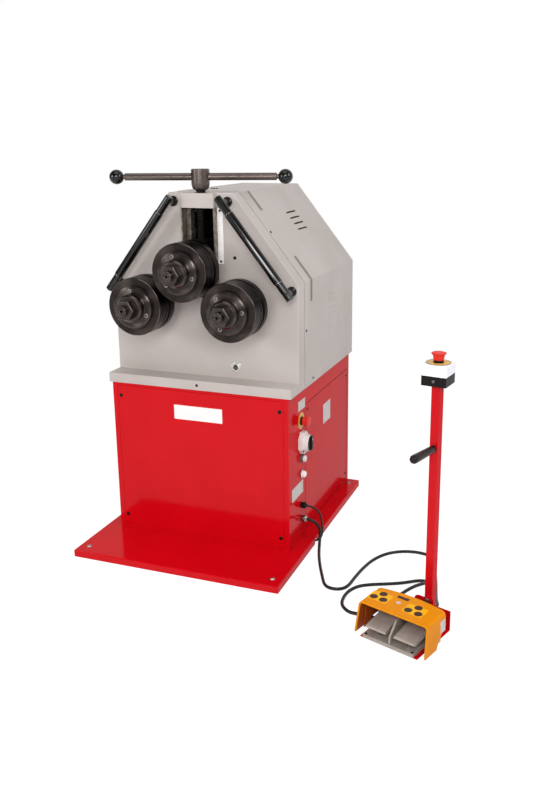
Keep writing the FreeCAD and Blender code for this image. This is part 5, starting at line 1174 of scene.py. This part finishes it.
shown = add(tree, "ShaderNodeMath", {"operation": "MAXIMUM"}, _0=rays["Is Camera Ray"],
            _1=rays["Is Glossy Ray"]).outputs[0]
floor_out = add(tree, "ShaderNodeMixShader", _0=shown, _1=shader.outputs[0], _2=seen_floor).outputs[0]
tree.links.new(floor_out, tree.nodes["Material Output"].inputs["Surface"])
floor_data = bpy.data.meshes.new("studio_floor")
floor_mesh.to_mesh(floor_data)
floor_mesh.free()
floor_data.materials.append(floor_finish)
linked("studio_floor", floor_data)


def lamp(name, place, target, size, watts, roll=0):
    """A softbox aimed at a point and rolled by some degrees."""
    data = bpy.data.lights.new(name, "AREA")
    data.shape = "RECTANGLE"
    data.size, data.size_y = size
    data.energy = watts
    made = linked(name, data)
    made.location = place
    aim = (Vector(target) - Vector(place)).to_track_quat("-Z", "Y").to_matrix()
    made.rotation_euler = (aim @ Matrix.Rotation(math.radians(roll), 3, "Z")).to_euler()


lamp("key_softbox", (-2.7, -2.9, 1.8), (0, 0, 0.75), (0.9, 1.1), 42)
lamp("front_strip", (0.5, -3.3, 1.75), (0, 0, 0.7), (1.9, 0.3), 30, 38)
lamp("right_front_softbox", (1.6, -3.0, 2.2), (0.2, 0, 0.75), (1.0, 1.0), 34)
lamp("fill_softbox", (3.4, -0.8, 2.6), (0.2, 0, 0.8), (1.3, 1.8), 46)
lamp("top_softbox", (0.2, -1.0, 3.6), (0.1, -0.1, 0.6), (2.2, 1.8), 22)

world = bpy.data.worlds.new("studio")
bpy.context.scene.world = world
world.use_nodes = True
tree = world.node_tree
ambient = tree.nodes["Background"]
ambient.inputs["Color"].default_value = WHITE
ambient.inputs["Strength"].default_value = 0.42
backdrop = add(tree, "ShaderNodeBackground", Color=WHITE, Strength=1.0).outputs[0]
way = add(tree, "ShaderNodeTexCoord").outputs["Generated"]
depth = add(tree, "ShaderNodeSeparateXYZ", Vector=way).outputs["Y"]
whiteness = add(tree, "ShaderNodeMapRange", {"interpolation_type": "SMOOTHSTEP"}, Value=depth,
                _1=-0.1, _2=0.55, _3=0.1, _4=1.0).outputs["Result"]
room = add(tree, "ShaderNodeBackground", Color=WHITE, Strength=whiteness).outputs[0]
rays = add(tree, "ShaderNodeLightPath").outputs
glossy = add(tree, "ShaderNodeMixShader", _0=rays["Is Glossy Ray"], _1=ambient.outputs[0], _2=room).outputs[0]
direct = add(tree, "ShaderNodeMath", {"operation": "MAXIMUM"}, _0=rays["Is Camera Ray"],
             _1=rays["Is Transmission Ray"]).outputs[0]
sky = add(tree, "ShaderNodeMixShader", _0=direct, _1=glossy, _2=backdrop).outputs[0]
tree.links.new(sky, tree.nodes["World Output"].inputs["Surface"])
bpy.context.scene.view_settings.view_transform = "Standard"
print("lamps:", len(bpy.data.lights))
